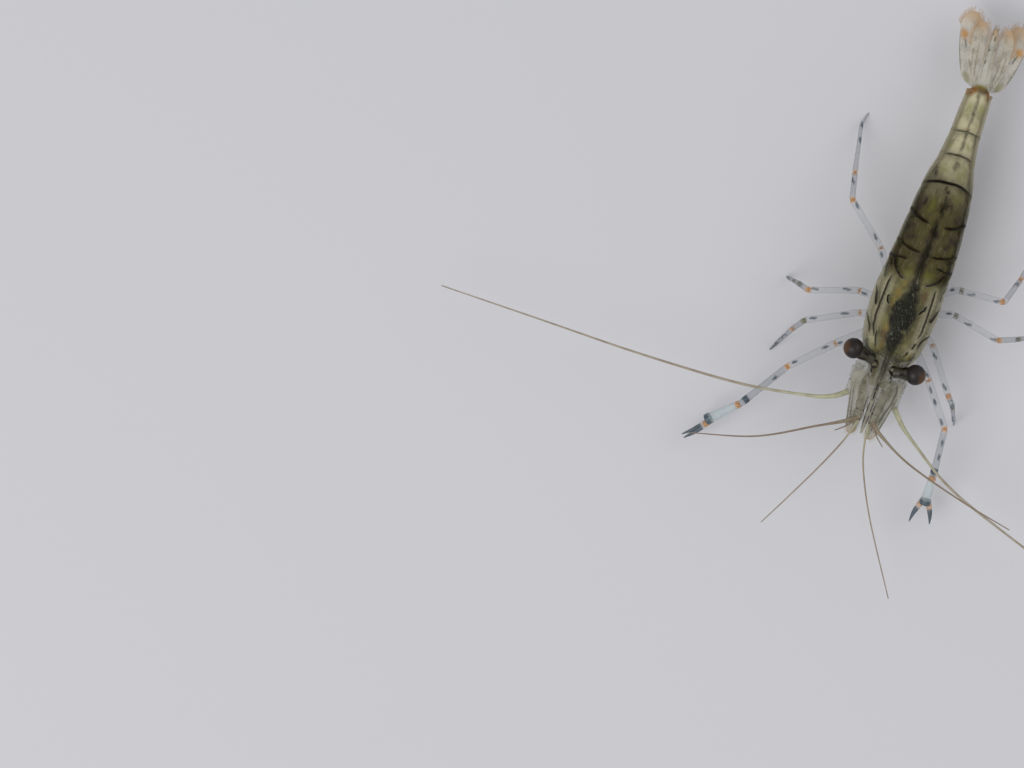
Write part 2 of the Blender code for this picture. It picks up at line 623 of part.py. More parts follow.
def limb(points, radii, root=()):
    """A limb's path and radii: each segment is waisted at its root and swells to its far joint."""
    path, widths = [*root, Vector(points[0])], [radii[0]] * (1 + len(root))
    for k in range(1, len(points)):
        start, end = Vector(points[k - 1]), Vector(points[k])
        radius = radii[min(k, len(radii) - 1)]
        before = radii[k - 1]
        last = k == len(points) - 1
        for t, width in ((0.12, 0.92 * before), (0.5, (before + radius) / 2), (0.9, radius * 1.06)):
            path.append(start.lerp(end, t))
            widths.append(width)
        path.append(end)
        widths.append(radius if last else radius * 0.98)
    return path, widths


def hip(number, side):
    """The two ends of the leg's first segment, which leaves the thorax straight outwards."""
    root = Vector((side * (THORAX_HALF_WIDTH + GAP), HIP_Y[number], HIP_Z))
    return root, root + Vector((side * COXA, 0, 0))


def make_walking_legs():
    for (number, side), joints in LEGS.items():
        name = f"walking_leg_{number}_{SIDES[side]}"
        root, coxa = hip(number, side)
        path, radii = limb([coxa, *joints], (0.5, *WALKING_RADII), [root])
        foot = path[-1] + (path[-1] - path[-2]).normalized() * FOOT_SINK
        foot.z = -FOOT_SINK
        mesh = tube_mesh(name, [*path, foot], [*radii, radii[-1]])
        cut_at_floor(mesh)
        add_object(name, mesh, "leg")


def make_claw_legs():
    for (number, side), joints in CLAW_LEGS.items():
        name = f"claw_leg_{number}_{SIDES[side]}"
        radii = CLAW_RADII[number]
        palm_end = Vector(joints[3])
        root, coxa = hip(number, side)
        path, widths = limb([coxa, *joints[:4]], (0.5, *radii[:4]), [root])
        pieces = [tube_mesh(name, path, widths)]
        back = (Vector(joints[2]) - palm_end).normalized()
        for tip in joints[4:]:
            tip = Vector(tip)
            across = (tip - palm_end) - back * (tip - palm_end).dot(back)
            root = palm_end + back * radii[4] * 2 + across.normalized() * radii[3] * 0.45
            middle = root.lerp(tip, 0.55) + across.normalized() * radii[4] * 0.5
            finger = (radii[4] * 1.1, radii[4] * 0.85, FINGERTIP_RADIUS)
            pieces.append(tube_mesh(name + "_finger", [root, middle, tip], finger))
        join(name, pieces, "leg")


def make_maxillipeds():
    for side, word in SIDES.items():
        path, widths = limb([(side * x, y, z) for x, y, z in MAXILLIPED], MAXILLIPED_RADII)
        add_object("maxilliped_" + word, tube_mesh("maxilliped_" + word, path, widths), "leg")


def make_pleopods():
    """Each swimmeret has a short stalk under its somite and two blades that lean back from it."""
    fronts = (CARAPACE_BACK, *SOMITE_BACKS)
    for number in range(1, 6):
        length = PLEOPOD_LENGTHS[number - 1]
        y = (fronts[number - 1] + fronts[number]) / 2 + 0.3
        lean = radians(PLEOPOD_LEAN)
        for side, word in SIDES.items():
            low_x, rise = hermite(HALF_WIDTH, y) * (1 - LOW_INWARD), hermite(BELLY_RISE, y)
            inside = low_x - SIDE_WALL - GAP - PLEOPOD_RADIUS if rise > GAP else 0.5 * low_x
            x = side * min(PLEOPOD_X, inside)
            top = min(hermite(SIDE_LOW, y + d) + hermite(BELLY_RISE, y + d) for d in (-0.6, 0, 0.6)) - GAP
            elbow = Vector((x, y + 0.2, top - PLEOPOD_STALK))
            stalk = (0.9 * PLEOPOD_RADIUS, PLEOPOD_RADIUS, 0.9 * PLEOPOD_RADIUS)
            pieces = [tube_mesh("stalk", [(x, y, top), (x, y + 0.1, top - PLEOPOD_STALK / 2), elbow], stalk)]
            for splay, share in PLEOPOD_BLADES:
                reach = length * share
                tip = elbow + Vector((side * splay, sin(lean) * reach, -cos(lean) * reach))
                tip.z = max(tip.z, PLEOPOD_CLEARANCE)
                root = elbow + Vector((0, 0, 0.25))
                path = [root, elbow.lerp(tip, 0.3), elbow.lerp(tip, 0.7), tip]
                pieces.append(tube_mesh("blade", path, PLEOPOD_BLADE_RADII))
            join(f"pleopod_{number}_{word}", pieces, "leg")


# Tail fan

def make_telson():
    wide, narrow = TELSON_HALF_WIDTHS
    round_from = FAN_ROOT + (TELSON_TIP - FAN_ROOT) * TELSON_END
    edge = ((FAN_ROOT, wide), (round_from, narrow * 1.1), (TELSON_TIP, narrow * 0.7))
    inner = [(y, -x) for y, x in edge]
    mesh = leaf_mesh("telson", inner, edge, TELSON_Z, THIN * 1.3, droop=0.15, rib=RIB_HEIGHT, lean=FAN_LEAN)
    add_object("telson", mesh, "fan")


def make_uropods():
    """Each uropod is a plate that widens to a round end, with a raised rib, hinged low on the last somite."""
    fall = (TELSON_Z[1] - TELSON_Z[0]) / (TELSON_TIP - FAN_ROOT)
    for part, shape in UROPODS.items():
        root_z = TELSON_Z[0] - shape["lower"] * FAN_STEP
        heights = (root_z, root_z + fall * (shape["inner"][-1][0] - FAN_ROOT))
        for side, word in SIDES.items():
            name = f"uropod_{part}_{word}"
            mesh = leaf_mesh(name, shape["inner"], shape["outer"], heights, THIN, side,
                             rib=RIB_HEIGHT, lean=FAN_LEAN)
            add_object(name, mesh, "fan")


def centre_on_base():
    """Moves the prawn so that the origin is the middle of its bounding box's base."""
    bpy.context.view_layer.update()
    corners = [made.matrix_world @ v.co for made in prawn.objects for v in made.data.vertices]
    low = [min(c[k] for c in corners) for k in range(3)]
    high = [max(c[k] for c in corners) for k in range(3)]
    frame = bpy.data.objects.new("prawn_frame", None)
    bpy.context.scene.collection.objects.link(frame)
    for made in list(prawn.objects):
        made.parent = frame
    frame.location = (-(low[0] + high[0]) / 2, -(low[1] + high[1]) / 2, -low[2])
    bpy.context.view_layer.update()
    print("prawn frame at", [round(v / MM, 3) for v in frame.location], "mm")


for old in list(bpy.data.objects):
    bpy.data.objects.remove(old)
prawn = bpy.data.collections.new("prawn")
bpy.context.scene.collection.children.link(prawn)
make_carapace()
make_abdomen()
make_thorax()
make_head()
make_eyes()
make_antennules()
make_antennae()
make_walking_legs()
make_claw_legs()
make_maxillipeds()
make_pleopods()
make_telson()
make_uropods()
centre_on_base()
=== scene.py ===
import math
import random

import bpy
import numpy as np
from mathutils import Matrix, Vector


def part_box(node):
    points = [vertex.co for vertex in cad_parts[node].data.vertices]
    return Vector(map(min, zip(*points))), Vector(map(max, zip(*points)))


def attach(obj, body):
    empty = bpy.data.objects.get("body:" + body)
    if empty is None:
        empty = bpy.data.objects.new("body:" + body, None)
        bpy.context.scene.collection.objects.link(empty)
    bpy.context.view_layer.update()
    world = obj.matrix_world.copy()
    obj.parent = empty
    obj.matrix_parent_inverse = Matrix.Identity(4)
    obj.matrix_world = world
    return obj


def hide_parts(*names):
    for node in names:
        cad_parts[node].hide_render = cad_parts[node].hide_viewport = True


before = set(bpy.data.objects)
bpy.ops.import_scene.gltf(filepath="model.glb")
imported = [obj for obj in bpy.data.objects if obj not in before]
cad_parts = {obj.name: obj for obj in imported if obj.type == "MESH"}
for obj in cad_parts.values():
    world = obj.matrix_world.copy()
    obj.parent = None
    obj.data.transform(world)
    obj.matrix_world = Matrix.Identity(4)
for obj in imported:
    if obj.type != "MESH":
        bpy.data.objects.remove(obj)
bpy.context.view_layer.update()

# A rockpool prawn. Lengths are millimetres in the prawn's own frame: the eyes stand at y = 0, +y runs
# to the tail, +x is its left and the floor is z = 0. The rostrum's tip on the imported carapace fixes
# where that frame is.
mm = 0.001
rostrumTip = -8.7
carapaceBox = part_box("carapace")
prawnPlace = np.array([(carapaceBox[0][0] + carapaceBox[1][0]) / 2, carapaceBox[0][1] - rostrumTip * mm, 0])
sideNames = {1: "left", -1: "right"}
far = 9.0  # stands for a distance too great to matter
looks = {}
print("frame loaded:", len(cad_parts), "nodes")


# Forms: points, faces and named numbers at the points

def makeForm(points, faces, **values):
    return {"points": np.array(points, float), "faces": list(faces), "values": values}


def joinForms(forms):
    points, faces, start = [], [], 0
    names = sorted({name for one in forms for name in one["values"]})
    values = {name: [] for name in names}
    for one in forms:
        count = len(one["points"])
        points.append(one["points"])
        faces += [tuple(k + start for k in face) for face in one["faces"]]
        for name in names:
            values[name].append(np.broadcast_to(one["values"].get(name, far), (count,)))
        start += count
    return makeForm(np.concatenate(points), faces, **{name: np.concatenate(values[name]) for name in names})


def addPiece(name, made, material, stands=(), thickness=0.0):
    mesh = bpy.data.meshes.new(name)
    mesh.from_pydata((made["points"] * mm + prawnPlace).tolist(), [], made["faces"])
    for label, numbers in made["values"].items():
        layer = mesh.attributes.new(label, "FLOAT", "POINT")
        layer.data.foreach_set("value", np.broadcast_to(numbers, (len(made["points"]),)).astype(np.float32))
    mesh.shade_smooth()
    mesh.set_sharp_from_angle(angle=math.radians(65))
    mesh.materials.append(looks[material])
    piece = bpy.data.objects.new(name, mesh)
    bpy.context.scene.collection.objects.link(piece)
    if thickness:
        solid = piece.modifiers.new("shellThickness", "SOLIDIFY")
        solid.thickness = thickness * mm
        solid.offset = -1
    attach(piece, "root")
    if stands:
        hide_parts(*stands)
    return piece


def gridFaces(rows, columns, closed=False):
    faces = []
    for k in range(rows - 1):
        for i in range(columns if closed else columns - 1):
            a, b = k * columns + i, k * columns + (i + 1) % columns
            faces.append((a, b, b + columns, a + columns))
    return faces


# A closed form through rings of like points, with flat ends
def loft(rings, **values):
    rows, columns = len(rings), len(rings[0])
    faces = gridFaces(rows, columns, closed=True)
    faces += [tuple(range(columns))[::-1], tuple(range((rows - 1) * columns, rows * columns))]
    return makeForm(np.concatenate([np.array(ring, float) for ring in rings]), faces, **values)


# Curves

# Smooth value at a place, from (place, value) pairs
def curveAt(pairs, place):
    last = len(pairs) - 1
    if place <= pairs[0][0]:
        return pairs[0][1]
    if place >= pairs[last][0]:
        return pairs[last][1]
    i = max(k for k in range(last) if pairs[k][0] <= place)
    (p0, v0), (p1, v1) = pairs[i], pairs[i + 1]

    def slope(k):
        a, b = pairs[max(k - 1, 0)], pairs[min(k + 1, last)]
        return (b[1] - a[1]) / (b[0] - a[0])

    step = p1 - p0
    t = (place - p0) / step
    return (v0 * (1 + 2 * t) * (1 - t) ** 2 + slope(i) * step * t * (1 - t) ** 2
            + v1 * t * t * (3 - 2 * t) - slope(i + 1) * step * t * t * (1 - t))


def smoothPath(points, perSpan):
    points = [np.array(p, float) for p in points]
    ends = [2 * points[0] - points[1], *points, 2 * points[-1] - points[-2]]
    path = []
    for a, b, c, d in zip(ends, ends[1:], ends[2:], ends[3:]):
        for k in range(perSpan):
            t = k / perSpan
            path.append(0.5 * (2 * b + (c - a) * t + (2 * a - 5 * b + 4 * c - d) * t * t
                               + (3 * b - a - 3 * c + d) * t ** 3))
    return path + [points[-1]]


# The points on the side given; they are stated for the left
def onSide(points, side):
    return [(side * x, y, z) for x, y, z in points]


# Points at height 0 from (y, x) pairs for the left side
def flatPlaces(pairs, side=1):
    return [(side * x, y, 0.0) for y, x in pairs]


def flattened(points):
    return points * np.array([1, 1, 0.0])


# 0 before the start, 1 past the end, even between; the end may lie below the start
def ramp(values, start, end):
    return np.clip((values - start) / (end - start), 0, 1)


def unit(vector):
    return vector / max(np.linalg.norm(vector), 1e-9)


def bump(place, centre, spread):
    return math.exp(-((place - centre) / spread) ** 2)


def ring(centre, across, over, radius, count, flat=1.0):
    turns = [2 * math.pi * i / count for i in range(count)]
    return [centre + radius * (math.cos(a) * across + flat * math.sin(a) * over) for a in turns]


# A tube along a path; flat is its height as a share of its width
def sweep(path, radii, sides=12, flat=1.0):
    path = [np.array(p, float) for p in path]
    tangents = [unit(path[min(k + 1, len(path) - 1)] - path[max(k - 1, 0)]) for k in range(len(path))]
    level = (0, 0, 1) if abs(tangents[0][2]) < 0.95 else (0, 1, 0)
    across = unit(np.cross(tangents[0], level))
    rings = []
    for place, tangent, radius in zip(path, tangents, radii):
        across = unit(across - tangent * across.dot(tangent))
        rings.append(ring(place, across, np.cross(across, tangent), radius, sides, flat))
    return loft(rings)


# A smooth rounded form through a few points, thickest in the middle
def roundedTube(points, radius, swell, sides):
    path = smoothPath(points, 5)
    last = len(path) - 1
    return sweep(path, [radius + swell * math.sin(math.pi * k / last) for k in range(last + 1)], sides)


# Distance of each point from the nearest painted line, less that line's half width, which tapers at its
# ends. A line is (half width, path).
def lineDistance(points, lines):
    nearest = np.full(len(points), far)
    for halfWidth, path in lines:
        path = np.array(path, float)
        low, high = path.min(0) - 2.0, path.max(0) + 2.0
        close = np.nonzero(np.all((points > low) & (points < high), axis=1))[0]
        if not len(close):
            continue
        chosen = points[close]
        for k, (start, end) in enumerate(zip(path, path[1:])):
            run = end - start
            t = np.clip(((chosen - start) @ run) / max(run @ run, 1e-9), 0, 1)
            share = (k + t) / (len(path) - 1)
            taper = halfWidth * np.minimum(1, 0.45 + 4 * np.minimum(share, 1 - share))
            away = np.linalg.norm(chosen - (start + t[:, None] * run), axis=1) - taper
            nearest[close] = np.minimum(nearest[close], away)
    return nearest


# How far each point lies inside soft patches, 0 to 1. A patch is (y, x, half length, half width).
def patchShare(points, patches):
    share = np.zeros(len(points))
    for y, x, halfLength, halfWidth in patches:
        away = ((points[:, 1] - y) / halfLength) ** 2 + ((points[:, 0] - x) / halfWidth) ** 2
        share = np.maximum(share, np.exp(-away ** 1.5))
    return share


# Shader helpers

# Sets an input, or links it: to another node, or to the mesh's own numbers where the value is their name
def feed(tree, socket, value):
    if isinstance(value, str):
        value = addNode(tree, "ShaderNodeAttribute", {"attribute_name": value}).outputs["Fac"]
    if isinstance(value, bpy.types.NodeSocket):
        tree.links.new(value, socket)
    else:
        socket.default_value = value


# Inputs are given by name, or as i0, i1 … by number
def addNode(tree, kind, settings=None, **inputs):
    made = tree.nodes.new(kind)
    for name, value in (settings or {}).items():
        setattr(made, name, value)
    for name, value in inputs.items():
        numbered = name[0] == "i" and name[1:].isdigit()
        feed(tree, made.inputs[int(name[1:]) if numbered else name], value)
    return made


# A colour from its 0 to 255 screen values
def colourOf(red, green, blue):
    shares = [v / 255 for v in (red, green, blue)]
    return (*[v / 12.92 if v < 0.0405 else ((v + 0.055) / 1.055) ** 2.4 for v in shares], 1)


# A colour may be a pigment's name
def tint(colour):
    return pigment[colour] if isinstance(colour, str) else colour


def mix(tree, share, first, second):
    return addNode(tree, "ShaderNodeMix", {"data_type": "RGBA"}, i0=share, i6=tint(first),
                   i7=tint(second)).outputs[2]


# Colours laid over a base one after another, each as (mask, strength, colour)
def layered(tree, base, *layers):
    for mask, strength, colour in layers:
        base = mix(tree, scaled(tree, mask, strength), base, colour)
    return base


def maths(tree, operation, first, second=0.0):
    return addNode(tree, "ShaderNodeMath", {"operation": operation}, i0=first, i1=second).outputs[0]


def scaled(tree, value, share):
    return maths(tree, "MULTIPLY", value, share)


# The largest of several (value, strength) pairs
def largest(tree, first, *others):
    result = scaled(tree, *first)
    for other in others:
        result = maths(tree, "MAXIMUM", result, scaled(tree, *other))
    return result


# The value, stretched smoothly from low and high to start and end
def spread(tree, value, low, high, start=0.0, end=1.0):
    ends = {"From Min": low, "From Max": high, "To Min": start, "To Max": end}
    smooth = {"interpolation_type": "SMOOTHSTEP"}
    return addNode(tree, "ShaderNodeMapRange", smooth, Value=value, **ends).outputs["Result"]


# Place on the object in millimetres, which may be stretched
def objectPlace(tree, stretch=(1, 1, 1)):
    place = addNode(tree, "ShaderNodeTexCoord").outputs["Object"]
    factors = tuple(k / mm for k in stretch)
    return addNode(tree, "ShaderNodeVectorMath", {"operation": "MULTIPLY"}, i0=place, i1=factors).outputs[0]


def noise(tree, place, grain, detail=4.0):
    return addNode(tree, "ShaderNodeTexNoise", Vector=place, Scale=grain, Detail=detail).outputs["Fac"]


# A node group with one output; its inputs are (name, kind, value)
def newGroup(name, inputs, output, outputKind="Float"):
    group = bpy.data.node_groups.new(name, "ShaderNodeTree")
    for label, kind, value in inputs:
        socket = group.interface.new_socket(name=label, in_out="INPUT", socket_type="NodeSocket" + kind)
        if value is not None:
            socket.default_value = value
    group.interface.new_socket(name=output, in_out="OUTPUT", socket_type="NodeSocket" + outputKind)
    return group, group.nodes.new("NodeGroupInput").outputs, group.nodes.new("NodeGroupOutput").inputs


def useGroup(tree, name, **inputs):
    return addNode(tree, "ShaderNodeGroup", {"node_tree": bpy.data.node_groups[name]}, **inputs).outputs[0]


def painted(tree, place, mark, ragged, grain, soft):
    return useGroup(tree, "paintedEdge", Place=place, Distance=mark, Ragged=ragged, Grain=grain, Soft=soft)


def dotted(tree, place, cells, size, filled):
    return useGroup(tree, "pigmentDots", Place=place, Cells=cells, Size=size, Filled=filled)


def mottled(tree, place, colour, dark, depth, grain):
    return useGroup(tree, "mottle", Place=place, Colour=tint(colour), Dark=tint(dark), Depth=depth,
                    Grain=grain)


# A patch whose edge is a distance measured on the mesh, roughened by noise
def buildPaintedEdge():
    inputs = [("Place", "Vector", None), ("Distance", "Float", 1.0), ("Ragged", "Float", 0.1),
              ("Grain", "Float", 4.0), ("Soft", "Float", 0.04)]
    group, given, result = newGroup("paintedEdge", inputs, "Mask")
    rough = noise(group, given["Place"], given["Grain"], 3.0)
    shift = scaled(group, maths(group, "SUBTRACT", rough, 0.5), given["Ragged"])
    edge = maths(group, "ADD", given["Distance"], shift)
    low = scaled(group, given["Soft"], -1.0)
    group.links.new(spread(group, edge, low, given["Soft"], 1.0, 0.0), result["Mask"])


# Small scattered pigment cells, of which only a share is filled
def buildPigmentDots():
    inputs = [("Place", "Vector", None), ("Cells", "Float", 2.5), ("Size", "Float", 0.2),
              ("Filled", "Float", 0.5)]
    group, given, result = newGroup("pigmentDots", inputs, "Mask")
    place, vectorMath = given["Place"], "ShaderNodeVectorMath"
    wobble = addNode(group, "ShaderNodeTexNoise", Vector=place, Scale=3.0, Detail=2.0).outputs["Color"]
    shift = addNode(group, vectorMath, {"operation": "SCALE"}, i0=wobble, Scale=0.25).outputs[0]
    moved = addNode(group, vectorMath, {"operation": "ADD"}, i0=place, i1=shift).outputs[0]
    cells = addNode(group, "ShaderNodeTexVoronoi", Vector=moved, Scale=given["Cells"])
    draw = addNode(group, "ShaderNodeSeparateColor", Color=cells.outputs["Color"]).outputs
    size = maths(group, "ADD", scaled(group, draw[1], 0.8), 0.5)
    reach = scaled(group, given["Size"], size)
    dot = spread(group, cells.outputs["Distance"], scaled(group, reach, 0.6), reach, 1.0, 0.0)
    chosen = maths(group, "LESS_THAN", draw[0], given["Filled"])
    group.links.new(scaled(group, dot, chosen), result["Mask"])


# A colour made patchy with clouds of a second colour
def buildMottle():
    inputs = [("Place", "Vector", None), ("Colour", "Color", (0.5, 0.5, 0.5, 1)),
              ("Dark", "Color", (0.2, 0.2, 0.2, 1)), ("Depth", "Float", 0.4), ("Grain", "Float", 0.8)]
    group, given, result = newGroup("mottle", inputs, "Colour", "Color")
    clouds = addNode(group, "ShaderNodeTexNoise", Vector=given["Place"], Scale=given["Grain"], Detail=5.0,
                     Roughness=0.6).outputs["Fac"]
    share = scaled(group, spread(group, clouds, 0.4, 0.68), given["Depth"])
    group.links.new(mix(group, share, given["Colour"], given["Dark"]), result["Colour"])


def newLook(name, roughness, gloss=0.5, subsurface=0.0):
    material = bpy.data.materials.new(name)
    material.use_nodes = True
    tree = material.node_tree
    shader = tree.nodes["Principled BSDF"]
    shader.inputs["Roughness"].default_value = roughness
    shader.inputs["Specular IOR Level"].default_value = gloss
    if subsurface:
        shader.inputs["Subsurface Weight"].default_value = subsurface
        shader.inputs["Subsurface Radius"].default_value = (1.0, 0.9, 0.6)
        shader.inputs["Subsurface Scale"].default_value = 0.6 * mm
    looks[name] = material
    return tree, shader


def finishLook(tree, shader, colour, height=None, alpha=None, depth=0.05):
    tree.links.new(colour, shader.inputs["Base Color"])
    if alpha is not None:
        tree.links.new(alpha, shader.inputs["Alpha"])
    if height is not None:
        relief = addNode(tree, "ShaderNodeBump", Height=height, Strength=0.5, Distance=depth * mm)
        tree.links.new(relief.outputs["Normal"], shader.inputs["Normal"])


# Looks. Colours are the 0 to 255 values that they show on screen.

screenColours = {
    "line": (17, 12, 6), "organ": (8, 10, 7), "organLight": (54, 62, 54), "ochre": (116, 102, 52),
    "rust": (88, 66, 42), "amber": (192, 132, 46), "burnt": (140, 92, 38), "olive": (108, 100, 50),
    "navy": (66, 82, 92), "thorax": (107, 104, 67), "abdomen": (76, 70, 41), "tail": (190, 183, 150),
    "moss": (90, 90, 40), "dusk": (46, 36, 31), "clearThorax": (182, 177, 148), "head": (176, 174, 152),
    "headDark": (50, 47, 36), "limb": (168, 173, 179), "limbOuter": (122, 129, 137),
    "palm": (178, 194, 196), "fan": (204, 198, 180), "fringe": (188, 146, 88),
    "feelerRoot": (176, 176, 146), "feelerTip": (158, 148, 130), "feelerBrown": (116, 96, 82),
    # rim is a painted highlight: pale colour for light shining through the tail shell's thin edges
    "eye": (34, 27, 27), "eyeEdge": (92, 63, 32), "rim": (196, 190, 140), "mossThorax": (138, 136, 84),
    "mossTail": (146, 146, 100), "organSpeck": (120, 128, 116), "limbCloud": (134, 140, 146),
    "navyDark": (36, 40, 48), "limbDot": (78, 88, 104), "fanVeil": (132, 136, 118),
    "fanCloud": (132, 126, 102), "fanMoss": (138, 138, 80), "fanDot": (96, 88, 74),
    "fanRib": (70, 68, 50), "feelerCloud": (104, 84, 62), "feelerRing": (84, 68, 50),
    "eyeCloud": (22, 18, 18), "eyeFacet": (62, 54, 46), "bristle": (186, 182, 164),
    "bristleCloud": (162, 128, 84),
}
pigment = {name: colourOf(*values) for name, values in screenColours.items()}


# The colour of a zone of the body: thorax, abdomen and the paler end of the tail
def zoneColour(tree, first, second, third):
    return layered(tree, first, ("tail", 1, second), ("paleTail", 1, third))


# The clear shell: a veil of colour over the flesh, dark painted lines, small pigment dots and a painted
# highlight along the tail's edges
def buildShellLook():
    tree, shader = newLook("shell", 0.4, gloss=0.05)
    place = objectPlace(tree)
    base = zoneColour(tree, "clearThorax", "abdomen", "tail")
    # Painted highlight: a pale rim colour along the tail's shell edges stands in for light shining through
    # the thin margin
    rim = scaled(tree, spread(tree, "veil", 0.86, 1.0, 0.0, 0.75), "tail")
    base = mix(tree, rim, base, "rim")
    lines = painted(tree, place, "line", 0.09, 4.0, 0.06)
    faint = painted(tree, place, "faintLine", 0.16, 2.5, 0.1)
    warm = painted(tree, place, "warm", 0.45, 2.0, 0.22)
    dots = dotted(tree, place, 3.4, 0.2, 0.35)
    dashes = spread(tree, noise(tree, objectPlace(tree, (3.2, 0.8, 2.0)), 2.4, 2.0), 0.64, 0.72)
    dashes = scaled(tree, dashes, spread(tree, "tail", 0.0, 1.0, 0.5, 0.0))
    faint = largest(tree, (faint, 0.55), (dots, 0.5), (dashes, 1))
    colour = layered(tree, base, (warm, 0.9, "burnt"), (faint, 1, "line"), (lines, 1, "line"))
    opaque = largest(tree, (lines, 1), (warm, 0.7), (faint, 0.9))
    alpha = spread(tree, opaque, 0.0, 1.0, spread(tree, "veil", 0.0, 1.0, 0.012, 0.5), 0.97)
    finishLook(tree, shader, colour, noise(tree, place, 5.0), alpha, 0.03)


# What shows through the shell: pale gills, with painted light that lifts the shaded flanks of the thorax, a
# dark stomach and gut in the thorax, and blotched muscle in the tail
def buildFleshLook():
    tree, shader = newLook("flesh", 0.5, subsurface=0.06, gloss=0.08)
    place = objectPlace(tree)
    base = zoneColour(tree, "thorax", "abdomen", "tail")
    base = mottled(tree, place, base, "dusk", 0.42, 0.6)
    fibres = noise(tree, objectPlace(tree, (2.4, 0.5, 0.5)), 2.0)
    colour = mix(tree, spread(tree, fibres, 0.5, 0.72, 0.0, 0.14), base, "clearThorax")
    rough = spread(tree, noise(tree, place, 1.1), 0.3, 0.6)
    moss = zoneColour(tree, "mossThorax", "moss", "mossTail")
    # The gill layer is partly pale gill stripes and partly painted light: it lightens the thorax flanks,
    # which the light from above leaves in shade
    colour = layered(tree, colour, ("moss", rough, moss), ("dusk", rough, "dusk"),
                     ("gill", 0.85, "clearThorax"), ("ochre", 1, "ochre"), ("rust", 0.8, "rust"),
                     ("amber", 1, "burnt"))
    organ = painted(tree, place, "organ", 1.1, 1.3, 0.34)
    specks = dotted(tree, place, 1.5, 0.2, 0.4)
    clouds = spread(tree, noise(tree, place, 1.5), 0.5, 0.74, 0.0, 0.12)
    dark = layered(tree, "organ", (clouds, 1, "organLight"), (specks, 0.35, "organSpeck"))
    colour = mix(tree, organ, colour, dark)
    alpha = largest(tree, (organ, 1), (spread(tree, "clear", 0.0, 1.0, 1.0, 0.1), 1))
    finishLook(tree, shader, colour, fibres, alpha, 0.06)


# Rostrum, head, stems and eyestalks: clear and speckled. "solid" is how opaque a place is, "shade" how
# dark and "tan" how yellow.
def buildClearLook():
    tree, shader = newLook("clear", 0.34, gloss=0.3)
    place = objectPlace(tree)
    base = layered(tree, "head", ("tan", 1, "ochre"), ("shade", 1, "headDark"))
    base = mottled(tree, place, base, "headDark", 0.52, 1.3)
    lines = painted(tree, place, "line", 0.12, 4.0, 0.05)
    dots = dotted(tree, place, 2.6, 0.27, 0.55)
    marks = largest(tree, (lines, 1), (dots, 0.85))
    colour = mix(tree, marks, base, "line")
    alpha = largest(tree, ("solid", 1), (marks, 0.95))
    finishLook(tree, shader, colour, noise(tree, place, 5.0), alpha, 0.03)


# Clear pale legs with small orange and navy marks beside the joints
def buildLimbLook():
    tree, shader = newLook("limb", 0.34, gloss=0.35)
    place = objectPlace(tree)
    base = mottled(tree, place, "limb", "limbCloud", 0.6, 1.4)
    outer = scaled(tree, spread(tree, "toTip", -0.8, 0.0, 1.0, 0.0),
                  spread(tree, "palm", 0.0, 1.0, 1.0, 0.0))
    base = layered(tree, base, (outer, 1, "limbOuter"), ("palm", 1, "palm"))
    warm = painted(tree, place, "warm", 0.3, 1.8, 0.2)
    cool = painted(tree, place, "cool", 0.26, 2.4, 0.1)
    olive = painted(tree, place, "olive", 0.3, 1.8, 0.16)
    dots = dotted(tree, place, 3.8, 0.2, 0.3)
    navy = mottled(tree, place, "navy", "navyDark", 0.8, 2.0)
    colour = layered(tree, base, (dots, 0.7, "limbDot"), (olive, 0.8, "olive"), (cool, 0.9, navy),
                     (warm, 0.9, "amber"))
    dotShare = spread(tree, "palm", 0.0, 1.0, 0.35, 0.7)
    marks = largest(tree, (warm, 0.5), (cool, 0.8), (olive, 0.62), (dots, dotShare), ("palm", 0.34))
    facing = addNode(tree, "ShaderNodeLayerWeight", Blend=0.5).outputs["Facing"]
    rim = spread(tree, facing, 0.3, 1.0, 0.15, 0.34)
    rim = maths(tree, "ADD", rim, scaled(tree, outer, 0.12))
    alpha = largest(tree, (rim, 1), (marks, 1))
    finishLook(tree, shader, colour, noise(tree, place, 6.0, 3.0), alpha, 0.03)


# Clear plates with fine dark ribs, orange spots and an orange fringe; "veil" makes them darker and more
# solid
def buildFanLook():
    tree, shader = newLook("fan", 0.34, gloss=0.35)
    place = objectPlace(tree)
    base = mix(tree, "veil", "fan", "fanVeil")
    base = mottled(tree, place, base, "fanCloud", 0.6, 0.9)
    ribs = painted(tree, place, "line", 0.12, 3.0, 0.06)
    warm = painted(tree, place, "warm", 0.4, 1.6, 0.55)
    tips = painted(tree, place, "tip", 1.0, 1.4, 1.0)
    moss = painted(tree, place, "moss", 0.5, 1.6, 0.3)
    dots = dotted(tree, place, 3.6, 0.2, 0.35)
    colour = layered(tree, base, (moss, 0.7, "fanMoss"), (tips, 0.7, "fringe"), (dots, 0.6, "fanDot"),
                     (ribs, 0.8, "fanRib"), (warm, 0.9, "amber"))
    marks = largest(tree, (ribs, 0.7), (warm, 1), (dots, 0.5), (tips, 0.4), (moss, 0.45), ("veil", 0.4))
    alpha = maths(tree, "ADD", scaled(tree, marks, 0.5), 0.42)
    finishLook(tree, shader, colour, noise(tree, place, 3.0, 5.0), alpha, 0.04)


# Ringed feelers, olive at the root and reddish brown further out
def buildFeelerLook():
    tree, shader = newLook("feeler", 0.45, gloss=0.3)
    place = objectPlace(tree)
    share = spread(tree, "reach", 0.05, 0.3)
    colour = layered(tree, "feelerRoot", (share, 1, "feelerTip"), ("brown", 1, "feelerBrown"))
    colour = mottled(tree, place, colour, "feelerCloud", 0.4, 0.7)
    rings = maths(tree, "SINE", scaled(tree, "along", 2 * math.pi / 0.32))
    colour = mix(tree, spread(tree, rings, 0.3, 1.0, 0.0, 0.08), colour, "feelerRing")
    finishLook(tree, shader, colour, rings, depth=0.01)


